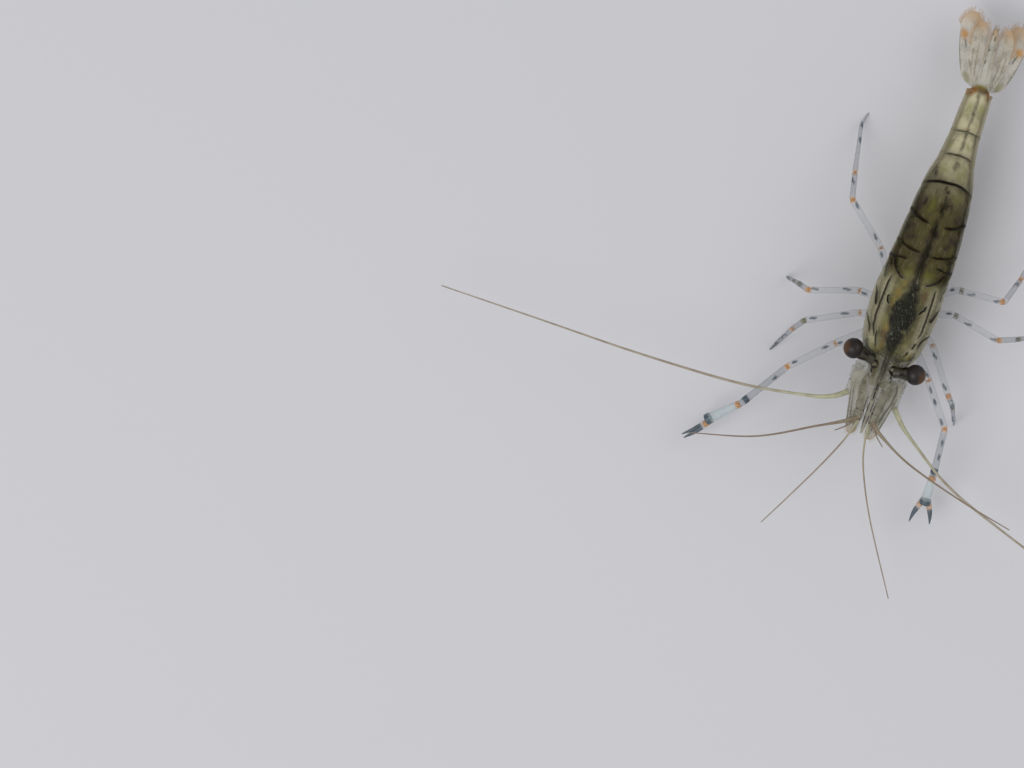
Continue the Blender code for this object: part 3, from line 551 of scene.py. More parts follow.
# Faceted dark eyes with a brown outer edge
def buildEyeLook():
    tree, shader = newLook("eye", 0.42, gloss=0.28)
    place = objectPlace(tree)
    edges = addNode(tree, "ShaderNodeTexVoronoi", {"feature": "DISTANCE_TO_EDGE"}, Vector=place, Scale=7.0)
    facets = edges.outputs["Distance"]
    base = mottled(tree, place, "eye", "eyeCloud", 0.7, 0.8)
    base = mix(tree, spread(tree, "outer", 0.62, 1.0, 0.0, 0.62), base, "eyeEdge")
    colour = mix(tree, spread(tree, facets, 0.0, 0.06, 0.3, 0.0), base, "eyeFacet")
    finishLook(tree, shader, colour, facets, depth=0.02)


def buildBristleLook():
    tree, shader = newLook("bristle", 0.45)
    place = objectPlace(tree)
    colour = mix(tree, "orange", "bristle", "fringe")
    colour = mottled(tree, place, colour, "bristleCloud", 0.5, 1.2)
    finishLook(tree, shader, colour)
    shader.inputs["Alpha"].default_value = 0.6


for build in (buildPaintedEdge, buildPigmentDots, buildMottle, buildShellLook, buildFleshLook,
              buildClearLook, buildLimbLook, buildFanLook, buildFeelerLook, buildEyeLook, buildBristleLook):
    build()
print("materials made:", len(looks))


# The body's outside

body = {
    "carapaceBack": 10.2, "somiteBacks": (13.5, 17.2, 22.1, 25.6, 28.5, 33.7),
    "halfWidth": ((0.0, 2.3), (1.2, 3.0), (2.5, 3.45), (5.0, 3.8), (8.0, 3.9), (11.7, 3.7), (17.5, 3.3),
        (21.7, 2.85), (25.8, 1.95), (28.5, 1.65), (34.0, 1.4)),
    "top": ((0.0, 12.3), (3.0, 13.1), (7.0, 13.5), (11.0, 13.3), (16.0, 13.7), (20.0, 13.4), (24.0, 12.0),
        (28.5, 10.7), (34.0, 9.5)),
    "low": ((0.0, 8.0), (2.0, 6.3), (5.0, 5.7), (9.0, 5.6), (12.0, 5.8), (15.5, 5.0), (20.0, 5.3),
        (24.0, 5.7), (27.0, 6.3), (29.5, 6.6), (34.0, 6.4)),
    "bellyRise": ((0.0, 1.3), (17.0, 1.3), (20.5, 0.9), (23.0, 0.25), (34.0, 0.2)), "widestShare": 0.42,
    "lowInward": 0.26, "shoulder": 0.6,
    "swings": ((2.0, 1.0), (0.9, -0.6), (1.0, 1.1), (-0.9, 0.9), (-0.4, 0.9), (-0.2, 0.5), (-0.1, -0.3)),
    "notches": (0.0, 0.5, 0.9, 1.0, 1.1, 1.0, 0.5, 0.4), "shellThickness": 0.13, "tailStart": (9.8, 11.2),
    "veilEdge": 0.8, "veilWidenOverShade": 0.14, "cheekBack": (3.4, 2.0), "cheekInner": (1.0, 1.9),
    "bend": ((9.0, 0.0), (12.0, 0.12), (15.0, 0.22), (20.0, 0.2), (24.0, 0.1), (28.0, 0.02), (34.0, 0.0)),
    "fleshInset": ((0.4, 0.5), (1.6, 0.34), (4.0, 0.28), (9.0, 0.22), (10.8, 0.14), (34.5, 0.09)),
    "fleshFront": 0.4, "fleshBack": 34.5, "fleshReach": 0.86,
    "paleTail": ((19.5, 0.0), (22.0, 0.3), (24.0, 0.68), (27.0, 0.88), (32.0, 1.0)),
}


# One of the body's curves at each of many places
def bodyCurve(name, places):
    return np.array([curveAt(body[name], one) for one in places])


# A point of the body's outside; share runs from -1 at the right lower edge over the back to 1 at the left
def sectionAt(y, share, lowLift=0.0, outset=0.0):
    side, part = (1 if share >= 0 else -1), abs(share)
    width, top = curveAt(body["halfWidth"], y) + outset, curveAt(body["top"], y) + outset
    middle = curveAt(body["bend"], y)
    low = curveAt(body["low"], y) + lowLift
    widest = low + body["widestShare"] * (top - low)
    shoulder = body["shoulder"]
    if part <= shoulder:
        turn = part / shoulder * math.pi / 2
        x = middle + side * width * math.sin(turn) ** 0.9
        return np.array([x, y, widest + (top - widest) * math.cos(turn)])
    drop = (part - shoulder) / (1 - shoulder)
    x = middle + side * width * (1 - body["lowInward"] * drop * drop)
    return np.array([x, y, widest - (widest - low) * drop])


# The share at which a point lies x to the side as seen from above. Past the body's half width it runs
# on down the flank, half as fast.
def shareFor(y, x):
    width = curveAt(body["halfWidth"], y)
    x -= curveAt(body["bend"], y)
    reach = abs(x) / width
    if reach > 1:
        return math.copysign(min(body["shoulder"] + (abs(x) - width) / 2, 0.98), x)
    return math.copysign(body["shoulder"] * math.asin(reach ** (1 / 0.9)) / (math.pi / 2), x)


# The rear margin of the carapace (0) or of a somite, as a function of the share
def marginOf(number):
    back = (body["carapaceBack"], *body["somiteBacks"])[number]
    flank, lower = body["swings"][number]

    def margin(share):
        part = abs(share)
        bulge = math.sin(min(part / 0.75, 1) * math.pi / 2) ** 2
        fall = max(0.0, (part - 0.55) / 0.45) ** 2
        return back + flank * bulge + (lower - flank) * fall
    return margin


# The front margin, with the eye's notch and two spines on each side, as shares of the way down the flank
frontMargin = {
    "edge": ((0.0, 0.5), (0.12, 0.9), (0.32, 2.2), (0.5, 1.5), (0.62, 0.6), (0.8, 1.2), (1.0, 2.6)),
    "spines": ((0.53, 1.5), (0.66, 0.9)), "spineHalfWidth": 0.032,
}


def carapaceFront(share):
    part = abs(share)
    y = curveAt(frontMargin["edge"], part)
    for centre, length in frontMargin["spines"]:
        y -= length * max(0.0, 1 - abs(part - centre) / frontMargin["spineHalfWidth"]) ** 1.3
    return y


# Painted lines: half width, then (y, x) points as seen from above
carapaceLines = (
    (0.13, ((2.6, -2.3), (3.4, -2.6), (3.9, -2.75), (5.0, -2.85), (7.0, -2.8), (9.0, -2.75), (10.1, -2.6))),
    (0.12, ((2.8, -2.9), (3.6, -3.1), (4.7, -3.7), (5.2, -4.1), (5.3, -4.4))),
    (0.22, ((6.15, -3.2), (6.5, -3.3), (7.0, -3.42), (7.7, -3.55))), (0.11, ((7.6, -3.55), (8.3, -3.75))),
    (0.12, ((9.5, -3.3), (10.4, -3.4), (11.3, -3.5))),
    (0.11, ((1.0, -1.5), (1.6, -1.75), (2.3, -2.0), (3.3, -2.15))),
    (0.13, ((6.6, -1.85), (7.0, -2.15), (7.5, -2.25), (7.7, -2.05))),
    (0.15, ((0.9, 1.1), (1.2, 1.5), (1.6, 1.85), (2.1, 1.98))), (0.12, ((2.5, 2.3), (3.3, 2.5))),
    (0.13, ((2.7, 2.9), (3.5, 3.0), (4.1, 3.3), (4.6, 3.75), (4.9, 4.1), (5.0, 4.4))),
    (0.12, ((3.9, 2.55), (4.4, 2.7), (6.0, 2.7), (8.0, 2.7), (10.0, 2.64))),
    (0.11, ((1.1, 3.2), (1.9, 3.45), (3.0, 3.7), (4.4, 3.85))),
    (0.24, ((6.2, 3.2), (6.6, 3.4), (7.2, 3.55), (7.8, 3.7))), (0.12, ((7.8, 3.7), (8.4, 3.85))),
    (0.15, ((6.5, 1.6), (7.0, 1.9), (7.3, 2.12), (7.8, 2.18))),
    (0.12, ((8.7, 3.5), (9.8, 3.5), (10.6, 3.7), (11.4, 3.8))),
)
flankLines = (
    (0.09, ((1.7, 3.7), (2.5, 4.05), (3.1, 4.35))), (0.11, ((6.3, 3.95), (7.3, 4.3), (8.1, 4.6))),
    (0.10, ((8.8, 4.05), (9.5, 4.35), (10.0, 4.55))),
)
abdomenLines = (
    (0.12, ((9.95, -1.25), (10.1, -1.7), (10.6, -2.2), (11.2, -2.6), (12.0, -2.95))),
    (0.12, ((9.95, 1.2), (10.2, 1.8), (10.8, 2.5), (11.6, 2.95), (12.1, 3.15))),
    (0.10, ((12.35, -1.6), (12.3, -2.3), (12.2, -3.1))),
    (0.18, ((12.1, -2.8), (12.15, -3.05), (12.3, -3.3), (12.4, -4.2))),
    (0.10, ((12.35, 1.9), (12.3, 2.5), (12.25, 3.0))),
    (0.18, ((12.2, 3.05), (12.3, 3.4), (12.5, 3.8), (12.3, 4.3))),
    (0.11, ((13.45, -0.5), (13.5, -1.1), (13.6, -1.8), (13.85, -2.5), (14.2, -3.15), (14.4, -3.6),
        (14.3, -4.1))),
    (0.11, ((13.4, 0.9), (13.5, 1.6), (13.75, 2.5), (14.1, 3.15), (14.35, 3.55), (14.3, 4.1))),
    (0.15, ((17.1, -0.75), (17.2, -1.4), (17.5, -2.2), (17.85, -2.75), (18.3, -3.1), (18.4, -3.6),
        (18.2, -4.0))),
    (0.15, ((17.1, 1.25), (17.3, 2.0), (17.6, 2.7), (17.95, 3.1), (18.3, 3.4), (18.3, 3.9))),
    (0.17, ((21.45, -2.75), (21.6, -2.4), (21.9, -1.7), (22.1, -1.0), (22.2, 0.0), (22.3, 0.8), (22.2, 1.6),
        (21.9, 2.4), (21.55, 2.95))),
    (0.11, ((21.45, -2.75), (21.7, -3.1), (22.3, -3.5))), (0.11, ((21.55, 2.95), (21.8, 3.2), (22.3, 3.6))),
    (0.10, ((25.4, -1.7), (25.55, -1.1), (25.65, -0.5), (25.72, 0.3), (25.65, 1.2), (25.5, 1.75))),
    (0.08, ((28.35, -1.65), (28.5, -1.0), (28.65, 0.0), (28.6, 1.0), (28.45, 1.65))),
    (0.08, ((9.9, 0.4), (10.8, 0.25), (12.2, 0.12), (13.6, 0.2), (15.0, 0.25), (17.2, 0.3))),
    (0.12, ((15.6, 0.25), (16.4, 0.18), (17.1, 0.3))), (0.09, ((18.5, 0.2), (19.5, 0.27), (20.8, 0.25))),
    (0.09, ((33.7, 0.75), (34.2, 0.9))),
)
faintLines = (
    (0.2, ((24.2, 0.1), (24.9, 0.18))), (0.24, ((32.8, 0.0), (33.4, -0.1))),
    (0.1, ((26.3, 0.1), (27.4, 0.05))), (0.1, ((29.0, 0.05), (30.8, 0.1))),
    (0.1, ((31.4, 0.1), (33.0, 0.0))), (0.09, ((24.6, -2.05), (25.6, -1.85))),
    (0.1, ((26.2, -1.7), (28.2, -1.55), (30.5, -1.45), (32.6, -1.4))),
    (0.09, ((25.0, 2.1), (28.2, 1.6), (31.0, 1.5), (32.8, 1.4))), (0.2, ((21.3, -0.1), (21.8, -0.1))),
    (0.16, ((9.0, -3.9), (9.6, -4.3), (9.3, -4.6))), (0.16, ((3.2, 4.0), (3.9, 4.4), (3.6, 4.6))),
    (0.16, ((9.0, 3.95), (9.6, 4.3), (9.3, 4.6))), (0.16, ((3.2, -3.9), (3.9, -4.3), (3.6, -4.6))),
)
warmPatches = (
    (0.32, ((32.9, -1.35), (33.5, -1.25), (33.8, -0.9))), (0.24, ((33.1, 1.35), (33.9, 1.25))),
    (0.14, ((33.9, -0.9), (34.1, 0.0), (33.9, 0.9))), (0.1, ((28.95, -0.3), (28.95, 0.3))),
    (0.12, ((12.9, -3.3), (13.3, -3.3))),
)
# Soft patches of colour in the flesh: y, x, half length, half width
fleshPatches = {
    "dusk": ((5.5, 0.0, 5.0, 2.1), (12.8, 0.15, 3.0, 0.75), (15.1, -2.2, 0.6, 0.6), (16.1, -2.6, 0.5, 0.7),
        (18.4, -2.3, 0.6, 0.5), (19.3, -1.9, 0.7, 0.6), (23.2, -1.9, 0.8, 0.4), (15.1, 2.3, 0.6, 0.5),
        (16.0, 2.9, 0.5, 0.7), (18.5, 2.4, 0.6, 0.5), (19.5, 0.9, 1.2, 0.5), (12.6, 0.5, 0.9, 0.5),
        (16.3, 0.5, 0.8, 0.5), (13.4, 3.3, 0.6, 0.4), (11.6, 0.1, 1.0, 0.3), (24.4, 0.15, 0.6, 0.3),
        (26.6, 0.1, 1.2, 0.25), (27.2, -0.9, 0.4, 0.35), (24.5, 0.2, 0.5, 0.4), (30.0, 0.1, 3.0, 0.2),
        (33.9, 0.7, 0.4, 0.5), (16.0, 0.4, 1.4, 0.6), (13.0, 0.1, 1.6, 0.5)),
    "moss": ((10.9, -0.9, 0.8, 0.7), (11.2, 1.3, 0.9, 0.8), (13.0, 3.1, 0.5, 0.4), (14.8, 3.0, 0.6, 0.5),
        (14.7, -3.1, 0.5, 0.3), (16.9, -0.35, 0.4, 0.35), (16.7, 1.2, 0.4, 0.4), (19.2, -1.1, 0.9, 0.5),
        (20.9, 1.6, 0.7, 0.7), (23.8, 1.2, 1.0, 0.8), (23.6, -1.0, 0.9, 0.6), (27.3, 0.9, 0.7, 0.45),
        (31.4, -0.6, 0.8, 0.4), (31.6, 0.8, 0.8, 0.4), (29.6, 0.7, 0.5, 0.3), (26.6, -1.3, 0.5, 0.3),
        (1.6, 2.6, 0.8, 0.5), (4.8, -1.6, 0.9, 0.4), (1.7, -2.6, 0.9, 0.55), (0.3, 1.5, 0.5, 0.3),
        (2.6, 1.5, 0.4, 0.5)),
    "ochre": ((3.9, -1.35, 0.5, 0.35), (7.1, -1.5, 0.7, 0.35), (8.3, -1.35, 0.7, 0.45),
        (9.6, -1.0, 0.5, 0.3), (1.4, -1.3, 0.8, 0.3), (1.3, 2.5, 0.6, 0.25), (34.1, -0.1, 0.4, 0.8)),
    "rust": ((2.4, -1.1, 0.6, 0.3), (3.2, -1.45, 0.5, 0.3), (8.8, 1.75, 0.7, 0.4), (33.7, 0.3, 0.4, 1.0)),
    "amber": ((33.5, -1.15, 0.7, 0.5), (33.7, -0.7, 0.4, 0.3), (33.5, 1.2, 0.7, 0.35)),
}
organs = (  # y, x, half length, half width
    (2.9, -0.05, 2.0, 0.9), (5.8, 0.05, 2.2, 1.55), (7.8, 0.3, 1.7, 0.95), (9.4, 0.3, 1.7, 0.55),
    (13.0, 0.2, 4.0, 0.28), (16.4, 0.22, 1.0, 0.4), (19.6, 0.27, 1.3, 0.26),
)
organDepth = 3.6  # the organs reach this far down from the back


def onBody(lines):
    placed = []
    for halfWidth, points in lines:
        path = []
        for (y0, x0), (y1, x1) in zip(points, points[1:]):
            count = max(1, round(math.hypot(y1 - y0, x1 - x0) / 0.25))
            path += [(y0 + (y1 - y0) * k / count, x0 + (x1 - x0) * k / count) for k in range(count)]
        path.append(points[-1])
        placed.append((halfWidth, [sectionAt(y, shareFor(y, x)) for y, x in path]))
    return placed


# The same lines on both sides
def onBothSides(lines):
    return tuple((width, tuple((y, side * x) for y, x in path))
                 for side in (1, -1) for width, path in lines)


lineSet = onBody(carapaceLines + onBothSides(flankLines) + abdomenLines)
faintSet, warmSet = onBody(faintLines), onBody(warmPatches)


def bodyValues(points):
    y = points[:, 1]
    tail = ramp(y, *body["tailStart"])
    names = ("paleTail", "bend", "halfWidth", "low", "top")
    paleTail, middle, width, low, top = (bodyCurve(name, y) for name in names)
    # In the pale tail the veil begins further in, laying pale shell colour over the flesh's shaded flank as
    # painted light
    edge = body["veilEdge"] - body["veilWidenOverShade"] * paleTail
    aside = np.abs(points[:, 0] - middle)
    sides = ramp(aside / width, edge, 1)
    sides[points[:, 2] < low + body["widestShare"] * (top - low)] = 1  # the flank below the widest line
    cheeks = ramp(y, *body["cheekBack"]) * ramp(aside, *body["cheekInner"])
    veil = np.maximum(sides, 0.5 * cheeks)
    return {"veil": veil, "tail": tail, "paleTail": paleTail, "line": lineDistance(points, lineSet),
            "faintLine": lineDistance(points, faintSet), "warm": lineDistance(points, warmSet)}


# The carapace's shallow furrows: one behind the stomach, one along the gill chamber
def grooveDepth(y, part):
    cross = 0.09 * bump(y - 3.9 - 1.6 * part, 0.0, 0.28) * bump(part, 0.42, 0.22)
    along = 0.08 * bump(part, 0.56 + 0.01 * (y - 5), 0.03) * max(0.0, min(1.0, (y - 2.2) / 1.0))
    return cross + along


def makePlate(number, rows, columns):
    back = marginOf(number)
    front = carapaceFront if number == 0 else marginOf(number - 1)
    tuck = 0.0 if number == 0 else 0.75
    overlap = 0.25 if number < 6 else 0.0
    first, second = body["notches"][number], body["notches"][number + 1]
    points, plain = [], []
    for k in range(rows):
        t = k / (rows - 1)
        for i in range(columns):
            share = 2 * i / (columns - 1) - 1
            start, end = front(share) - tuck, back(share) + overlap
            y = start + (end - start) * t
            notch = (first if t < 0.5 else second) * abs(2 * t - 1) ** 3
            under = max(0.0, 1 - (y - start) / 0.9) if number else 0.0
            outset = 0.1 * math.sin(math.pi * t) - 0.22 * under + 0.07 * bump(y, end, 0.35)
            if number == 2:
                outset += 0.3 * under * max(0.0, (abs(share) - 0.62) / 0.38)
            if number == 0:
                outset -= grooveDepth(y, abs(share))
            points.append(sectionAt(y, share, notch, outset))
            plain.append(sectionAt(y, share, notch))  # the paint is placed on the form without its relief
    faces = [face[::-1] for face in gridFaces(rows, columns)]
    return makeForm(points, faces, **bodyValues(np.array(plain)))


# Rostrum

rostrum = {
    "back": 3.6, "orbit": 0.5, "rearHeight": 12.45, "rise": 0.35, "halfThick": 0.3, "ribSpread": 0.38,
    "edgeThick": 0.07, "upperTeeth": 8, "lowerTeeth": 3, "toothHeight": 0.5, "bareTip": 1.2,
    "lowerFront": -7.1, "lowerBack": -2.2,
}
toothPitch = (rostrum["back"] - rostrumTip - rostrum["bareTip"]) / rostrum["upperTeeth"]


# How far a row of teeth stands out at a place counted in teeth; each leans towards the tip
def toothSize(place, count):
    if not 0 < place < count:
        return 0.0
    part = place % 1
    return (part / 0.8 if part < 0.8 else (1 - part) / 0.2) ** 1.5


# Upper edge, lower edge and middle rib of the blade
def rostrumEdges(y):
    ahead = max(0.0, (rostrum["orbit"] - y) / (rostrum["orbit"] - rostrumTip))
    line = rostrum["rearHeight"] + rostrum["rise"] * ahead
    blend = min(1.0, max(0.0, (y - 0.3) / 1.6))
    upper = line * (1 - blend) + (curveAt(body["top"], y) + 0.15) * blend
    lower = 12.1 - 0.75 * math.sin(min(2 * ahead, 1) * math.pi / 2) + 1.25 * max(0.0, 2 * ahead - 1) ** 1.4
    place = (rostrum["back"] - y) / toothPitch
    size = 0.75 + 0.25 * math.sin(math.pi * place / rostrum["upperTeeth"])
    upper += rostrum["toothHeight"] * size * toothSize(place, rostrum["upperTeeth"])
    lowerPitch = (rostrum["lowerBack"] - rostrum["lowerFront"]) / rostrum["lowerTeeth"]
    lower -= 0.28 * toothSize((rostrum["lowerBack"] - y) / lowerPitch, rostrum["lowerTeeth"])
    if y > rostrum["orbit"]:
        lower = 11.6
    return upper, min(lower, upper - 0.05), line - 0.42 + 0.3 * ahead


def makeRostrum():
    rings, rows = [], 230
    heights, swell = np.linspace(0, 1, 14), rostrum["halfThick"] - rostrum["edgeThick"]
    for k in range(rows):
        y = rostrum["back"] + (rostrumTip - rostrum["back"]) * k / (rows - 1)
        upper, lower, rib = rostrumEdges(y)
        slim = min(1.0, 0.4 + (y - rostrumTip) / 2.4)
        side = []
        for share in heights:
            z = lower + (upper - lower) * share
            thick = rostrum["edgeThick"] + swell * bump(z, rib, rostrum["ribSpread"])
            side.append((thick * slim * (0.25 if share in (0, 1) else 1.0), y, z))
        rings.append(side + [(-x, y, z) for x, y, z in side[::-1]])
    blade = loft(rings)
    points = blade["points"]
    ribs = [(0.07, [(side * 0.2, -8.4, 0), (side * 0.22, -4.6, 0)]) for side in (1, -1)]
    lines = lineDistance(flattened(points), [*ribs, (0.1, [(0, -4.6, 0), (0, -2.4, 0)])])
    upper = points[:, 2] > [rostrumEdges(y)[2] - 0.02 for y in points[:, 1]]
    solid = np.interp(points[:, 1], (0.2, 1.4, 3.6), (0.55, 0.3, 0.05))
    shade = np.interp(points[:, 1], (-4.5, -2.6, -1.0), (0.15, 0.6, 0.9))
    blade["values"] = {"line": np.where(upper, lines, far), "solid": solid, "shade": shade, "tan": 0.5}
    return blade


# Thin bristles from the roots; direction and length are functions of the root's number
def makeBristles(roots, direction, length, width, wave=0.15, orange=0.0, seed=1):
    draw = random.Random(seed)
    forms = []
    for k, root in enumerate(roots):
        way = unit(np.array(direction(k), float) + np.array([draw.uniform(-wave, wave) for _ in range(3)]))
        reach = length(k) * draw.uniform(0.8, 1.1)
        side = unit(np.cross(way, (0.1, 0.2, 1.0)))
        over = np.cross(side, way)
        base = [np.array(root) + width * (math.cos(a) * side + math.sin(a) * over) for a in (0.5, 2.6, 4.7)]
        middle = [p + way * reach * 0.55 - (p - root) * 0.3 + over * 0.04 * reach for p in base]
        tip = np.array(root) + way * reach
        faces = [(0, 2, 1), (0, 1, 4, 3), (1, 2, 5, 4), (2, 0, 3, 5), (3, 4, 6), (4, 5, 6), (5, 3, 6)]
        forms.append(makeForm([*base, *middle, tip], faces))
    made = joinForms(forms)
    made["values"] = {"orange": orange}
    return made


for number in range(7):
    node = f"abdomen_{number}" if number else "carapace"
    plate = makePlate(number, *((44, 141) if number else (130, 261)))
    addPiece("shell_" + node, plate, "shell", [node], thickness=body["shellThickness"])
addPiece("rostrum_blade", makeRostrum(), "clear")
tufts = []
for k in range(2, 8):
    for j in range(5):
        y = rostrum["back"] - (k + 0.1 * j) * toothPitch
        tufts.append((0.02 * (j % 3 - 1), y, rostrumEdges(y)[0] - 0.03))
tuftForm = makeBristles(tufts, lambda k: (0, -1.0, 0.55), lambda k: 0.4, 0.012, seed=4)
addPiece("rostrum_bristles", tuftForm, "bristle")
print("shell made")


# Flesh inside the shell, and the thorax floor that the legs grow from

# The gill region, where pale gill stripes and painted light over the shaded thorax flanks lie
gill = {"back": (10.5, 9.0), "inner": (1.9, 2.7), "pitch": 0.55, "clear": 0.12}
clearFront = {"back": (2.2, 0.4), "inner": (1.3, 1.9)}
thoraxFloor = {
    "front": 0.7, "back": 10.3, "halfWidth": 1.45, "low": 4.15, "legPlaces": (1.9, 3.7, 5.3, 7.0, 8.8),
}
plainFlesh = {
    "tail": 0.0, "paleTail": 0.3, "organ": far, "dusk": 0.0, "moss": 0.0, "ochre": 0.0, "rust": 0.0,
    "amber": 0.0, "gill": 0.0, "clear": 0.3,
}


def makeFlesh():
    rings = []
    for y in np.linspace(body["fleshFront"], body["fleshBack"], 230):
        inset = curveAt(body["fleshInset"], y)
        taper = min(1.0, 0.6 + (y - body["fleshFront"]) / 1.6) * (1 - 0.4 * max(0.0, y - 33.5))
        upper = []
        for k in range(61):
            share = (2 * k / 60 - 1) * body["fleshReach"]
            point = sectionAt(y, share, 0.0, -inset)
            part = abs(share) / body["fleshReach"]
            if part > 0.8:
                point[0] *= 1 - 0.45 * ((part - 0.8) / 0.2) ** 2
            upper.append(point)
        bellyZ = curveAt(body["low"], y) + curveAt(body["bellyRise"], y)
        low = min(upper[0][2], bellyZ + 0.15)
        for point in upper:
            point[2] = max(point[2], low)
        floor = [np.array([upper[-1][0] * (1 - 2 * k / 8), y, bellyZ - 0.12 * math.sin(math.pi * k / 8)])
                 for k in range(1, 8)]
        centre = np.mean(upper, axis=0)
        rings.append([centre + (p - centre) * np.array([taper, 1, taper]) for p in upper + floor])
    made = loft([one[::-1] for one in rings])
    points = made["points"]
    depth = np.maximum(0, bodyCurve("top", points[:, 1]) - points[:, 2] - organDepth + 1.0)
    inOrgan = np.full(len(points), far)
    for y, x, halfLength, halfWidth in organs:
        away = np.hypot((points[:, 1] - y) / halfLength,
                        (points[:, 0] - x) / (halfWidth + 0.25 * (depth > 0)))
        inOrgan = np.minimum(inOrgan, (away - 1) * min(halfLength, halfWidth) + np.maximum(0, depth - 1.0))
    aside, y = np.abs(points[:, 0]), points[:, 1]
    gills = ramp(y, *gill["back"]) * ramp(aside, *gill["inner"])
    stripes = 0.5 + 0.5 * np.sin(y * 2 * math.pi / gill["pitch"] + 0.5 * np.sin(points[:, 2]))
    values = bodyValues(points)
    front = ramp(y, *clearFront["back"]) * (1 - 0.65 * ramp(aside, *clearFront["inner"]))
    made["values"] = {name: patchShare(points, patches) for name, patches in fleshPatches.items()}
    # gill: pale gill stripes, and painted light over the shaded thorax flanks
    made["values"].update(tail=values["tail"], paleTail=values["paleTail"], organ=inOrgan,
                          gill=(0.8 + 0.2 * stripes) * gills,
                          clear=np.maximum(gill["clear"] * gills, front))
    return made


def makeThoraxFloor():
    rings = []
    for k in range(70):
        t = k / 69
        y = thoraxFloor["front"] + (thoraxFloor["back"] - thoraxFloor["front"]) * t
        roof = curveAt(body["low"], y) + 1.5
        ends = math.sin(math.pi * min(1.0, 6 * min(t, 1 - t) + 0.15) / 2) ** 0.6
        knuckle = sum(bump(y, place, 0.38) for place in thoraxFloor["legPlaces"])
        width = thoraxFloor["halfWidth"] * ends * (0.82 + 0.18 * knuckle)
        low = roof - (roof - thoraxFloor["low"]) * ends * (0.9 + 0.1 * knuckle)
        arch = []
        for i in range(25):
            turn = math.pi * i / 24
            height = low + 0.16 * bump(i, 12, 1.6) + (roof - low) * (1 - math.sin(turn) ** 0.7)
            arch.append((width * math.cos(turn), y, height))
        rings.append(arch)
    return loft(rings, **plainFlesh)


addPiece("flesh", makeFlesh(), "flesh")
addPiece("thorax_floor", makeThoraxFloor(), "flesh", ["thorax"])


# Head, eyes and stalks

head = {
    "front": -2.9, "back": 1.6, "halfWidth": 1.85, "low": 6.5, "top": 11.6, "rows": 40, "sides": 36,
    "cheek": ((1.2, -0.2, 9.6), (1.75, 0.7, 9.4), (2.1, 1.5, 8.9), (2.3, 2.3, 8.2)),
    "cheekRadii": (0.5, 0.35),
    "jaw": ((0.55, 1.2, 6.2), (0.85, 0.2, 5.9), (0.7, -0.8, 6.2), (0.3, -1.3, 6.6)),
    "jawRadii": (0.5, 0.25), "palp": ((0.5, -0.9, 6.0), (0.7, -1.9, 5.7), (0.45, -2.7, 6.1)),
    "palpRadius": 0.26, "hoop": {"y": -0.5, "x": 1.15, "radius": 0.4, "halfWidth": 0.15},
    "lines": ((0.14, ((-0.9, 1.2), (-1.3, 1.25), (-1.6, 1.1))), (0.12, ((-1.0, 2.0), (-1.6, 1.6),
        (-2.3, 1.2)))),
    "lineLow": 9.0, "midPatch": (-0.2, 0.0, 1.8, 0.75),
    "tan": ((-0.8, -0.9, 1.4, 0.4), (0.3, 1.5, 0.7, 0.5)),
}
eyes = {1: (3.78, -0.15, 11.0), -1: (-4.0, 0.4, 11.0)}
eye = {"radius": 1.22, "stalkRadius": 0.8, "rows": 34, "markTurns": (0.3, 1.3, 2.4, 3.6, 5.0)}


def makeHead():
    rings, rows, sides = [], head["rows"], head["sides"]
    for k in range(rows):
        t = k / (rows - 1)
        y = head["back"] + (head["front"] - head["back"]) * t
        size = 1 - 0.5 * max(0.0, (t - 0.35) / 0.65) ** 1.8
        middle = (head["low"] + head["top"]) / 2 - 0.35 * t
        halfHeight = (head["top"] - head["low"]) / 2 * size
        skin = []
        for i in range(sides):
            turn = 2 * math.pi * i / sides
            brow = 0.2 * bump(t, 0.42, 0.12) * max(0.0, math.cos(turn)) * abs(math.sin(turn))
            x = (head["halfWidth"] * size + brow) * math.sin(turn)
            skin.append((x, y, middle + halfHeight * math.cos(turn)))
        rings.append(skin)
    skull = loft(rings)
    points, marks, hoop = skull["points"], [], head["hoop"]
    for side in (1, -1):
        turns, radius = np.linspace(0, 5.6, 16), hoop["radius"]
        circle = [(hoop["y"] + radius * math.sin(a), hoop["x"] + radius * math.cos(a)) for a in turns]
        for halfWidth, line in ((hoop["halfWidth"], circle), *head["lines"]):
            marks.append((halfWidth, flatPlaces(line, side)))
    middle = patchShare(points, (head["midPatch"],))
    shade = np.clip(0.15 + 0.2 * (points[:, 1] + 0.5), 0, 0.6)
    skull["values"] = {
        "line": np.where(points[:, 2] > head["lineLow"], lineDistance(flattened(points), marks), far),
        "solid": (0.5 + 0.4 * middle) * ramp(points[:, 1], head["back"], 0.2),
        "shade": np.maximum(shade, 0.95 * middle), "tan": patchShare(points, head["tan"]),
    }
    forms = [skull]
    for side in (1, -1):
        forms.append(roundedTube(onSide(head["cheek"], side), *head["cheekRadii"], 16))
        forms.append(roundedTube(onSide(head["jaw"], side), *head["jawRadii"], 14))
        palp = smoothPath(onSide(head["palp"], side), 5)
        forms.append(sweep(palp, [head["palpRadius"] - 0.012 * k for k in range(len(palp))], 10))
    for form in forms[1:]:
        form["values"] = {"line": far, "solid": 0.7, "shade": 0.4, "tan": 0.0}
    return joinForms(forms)


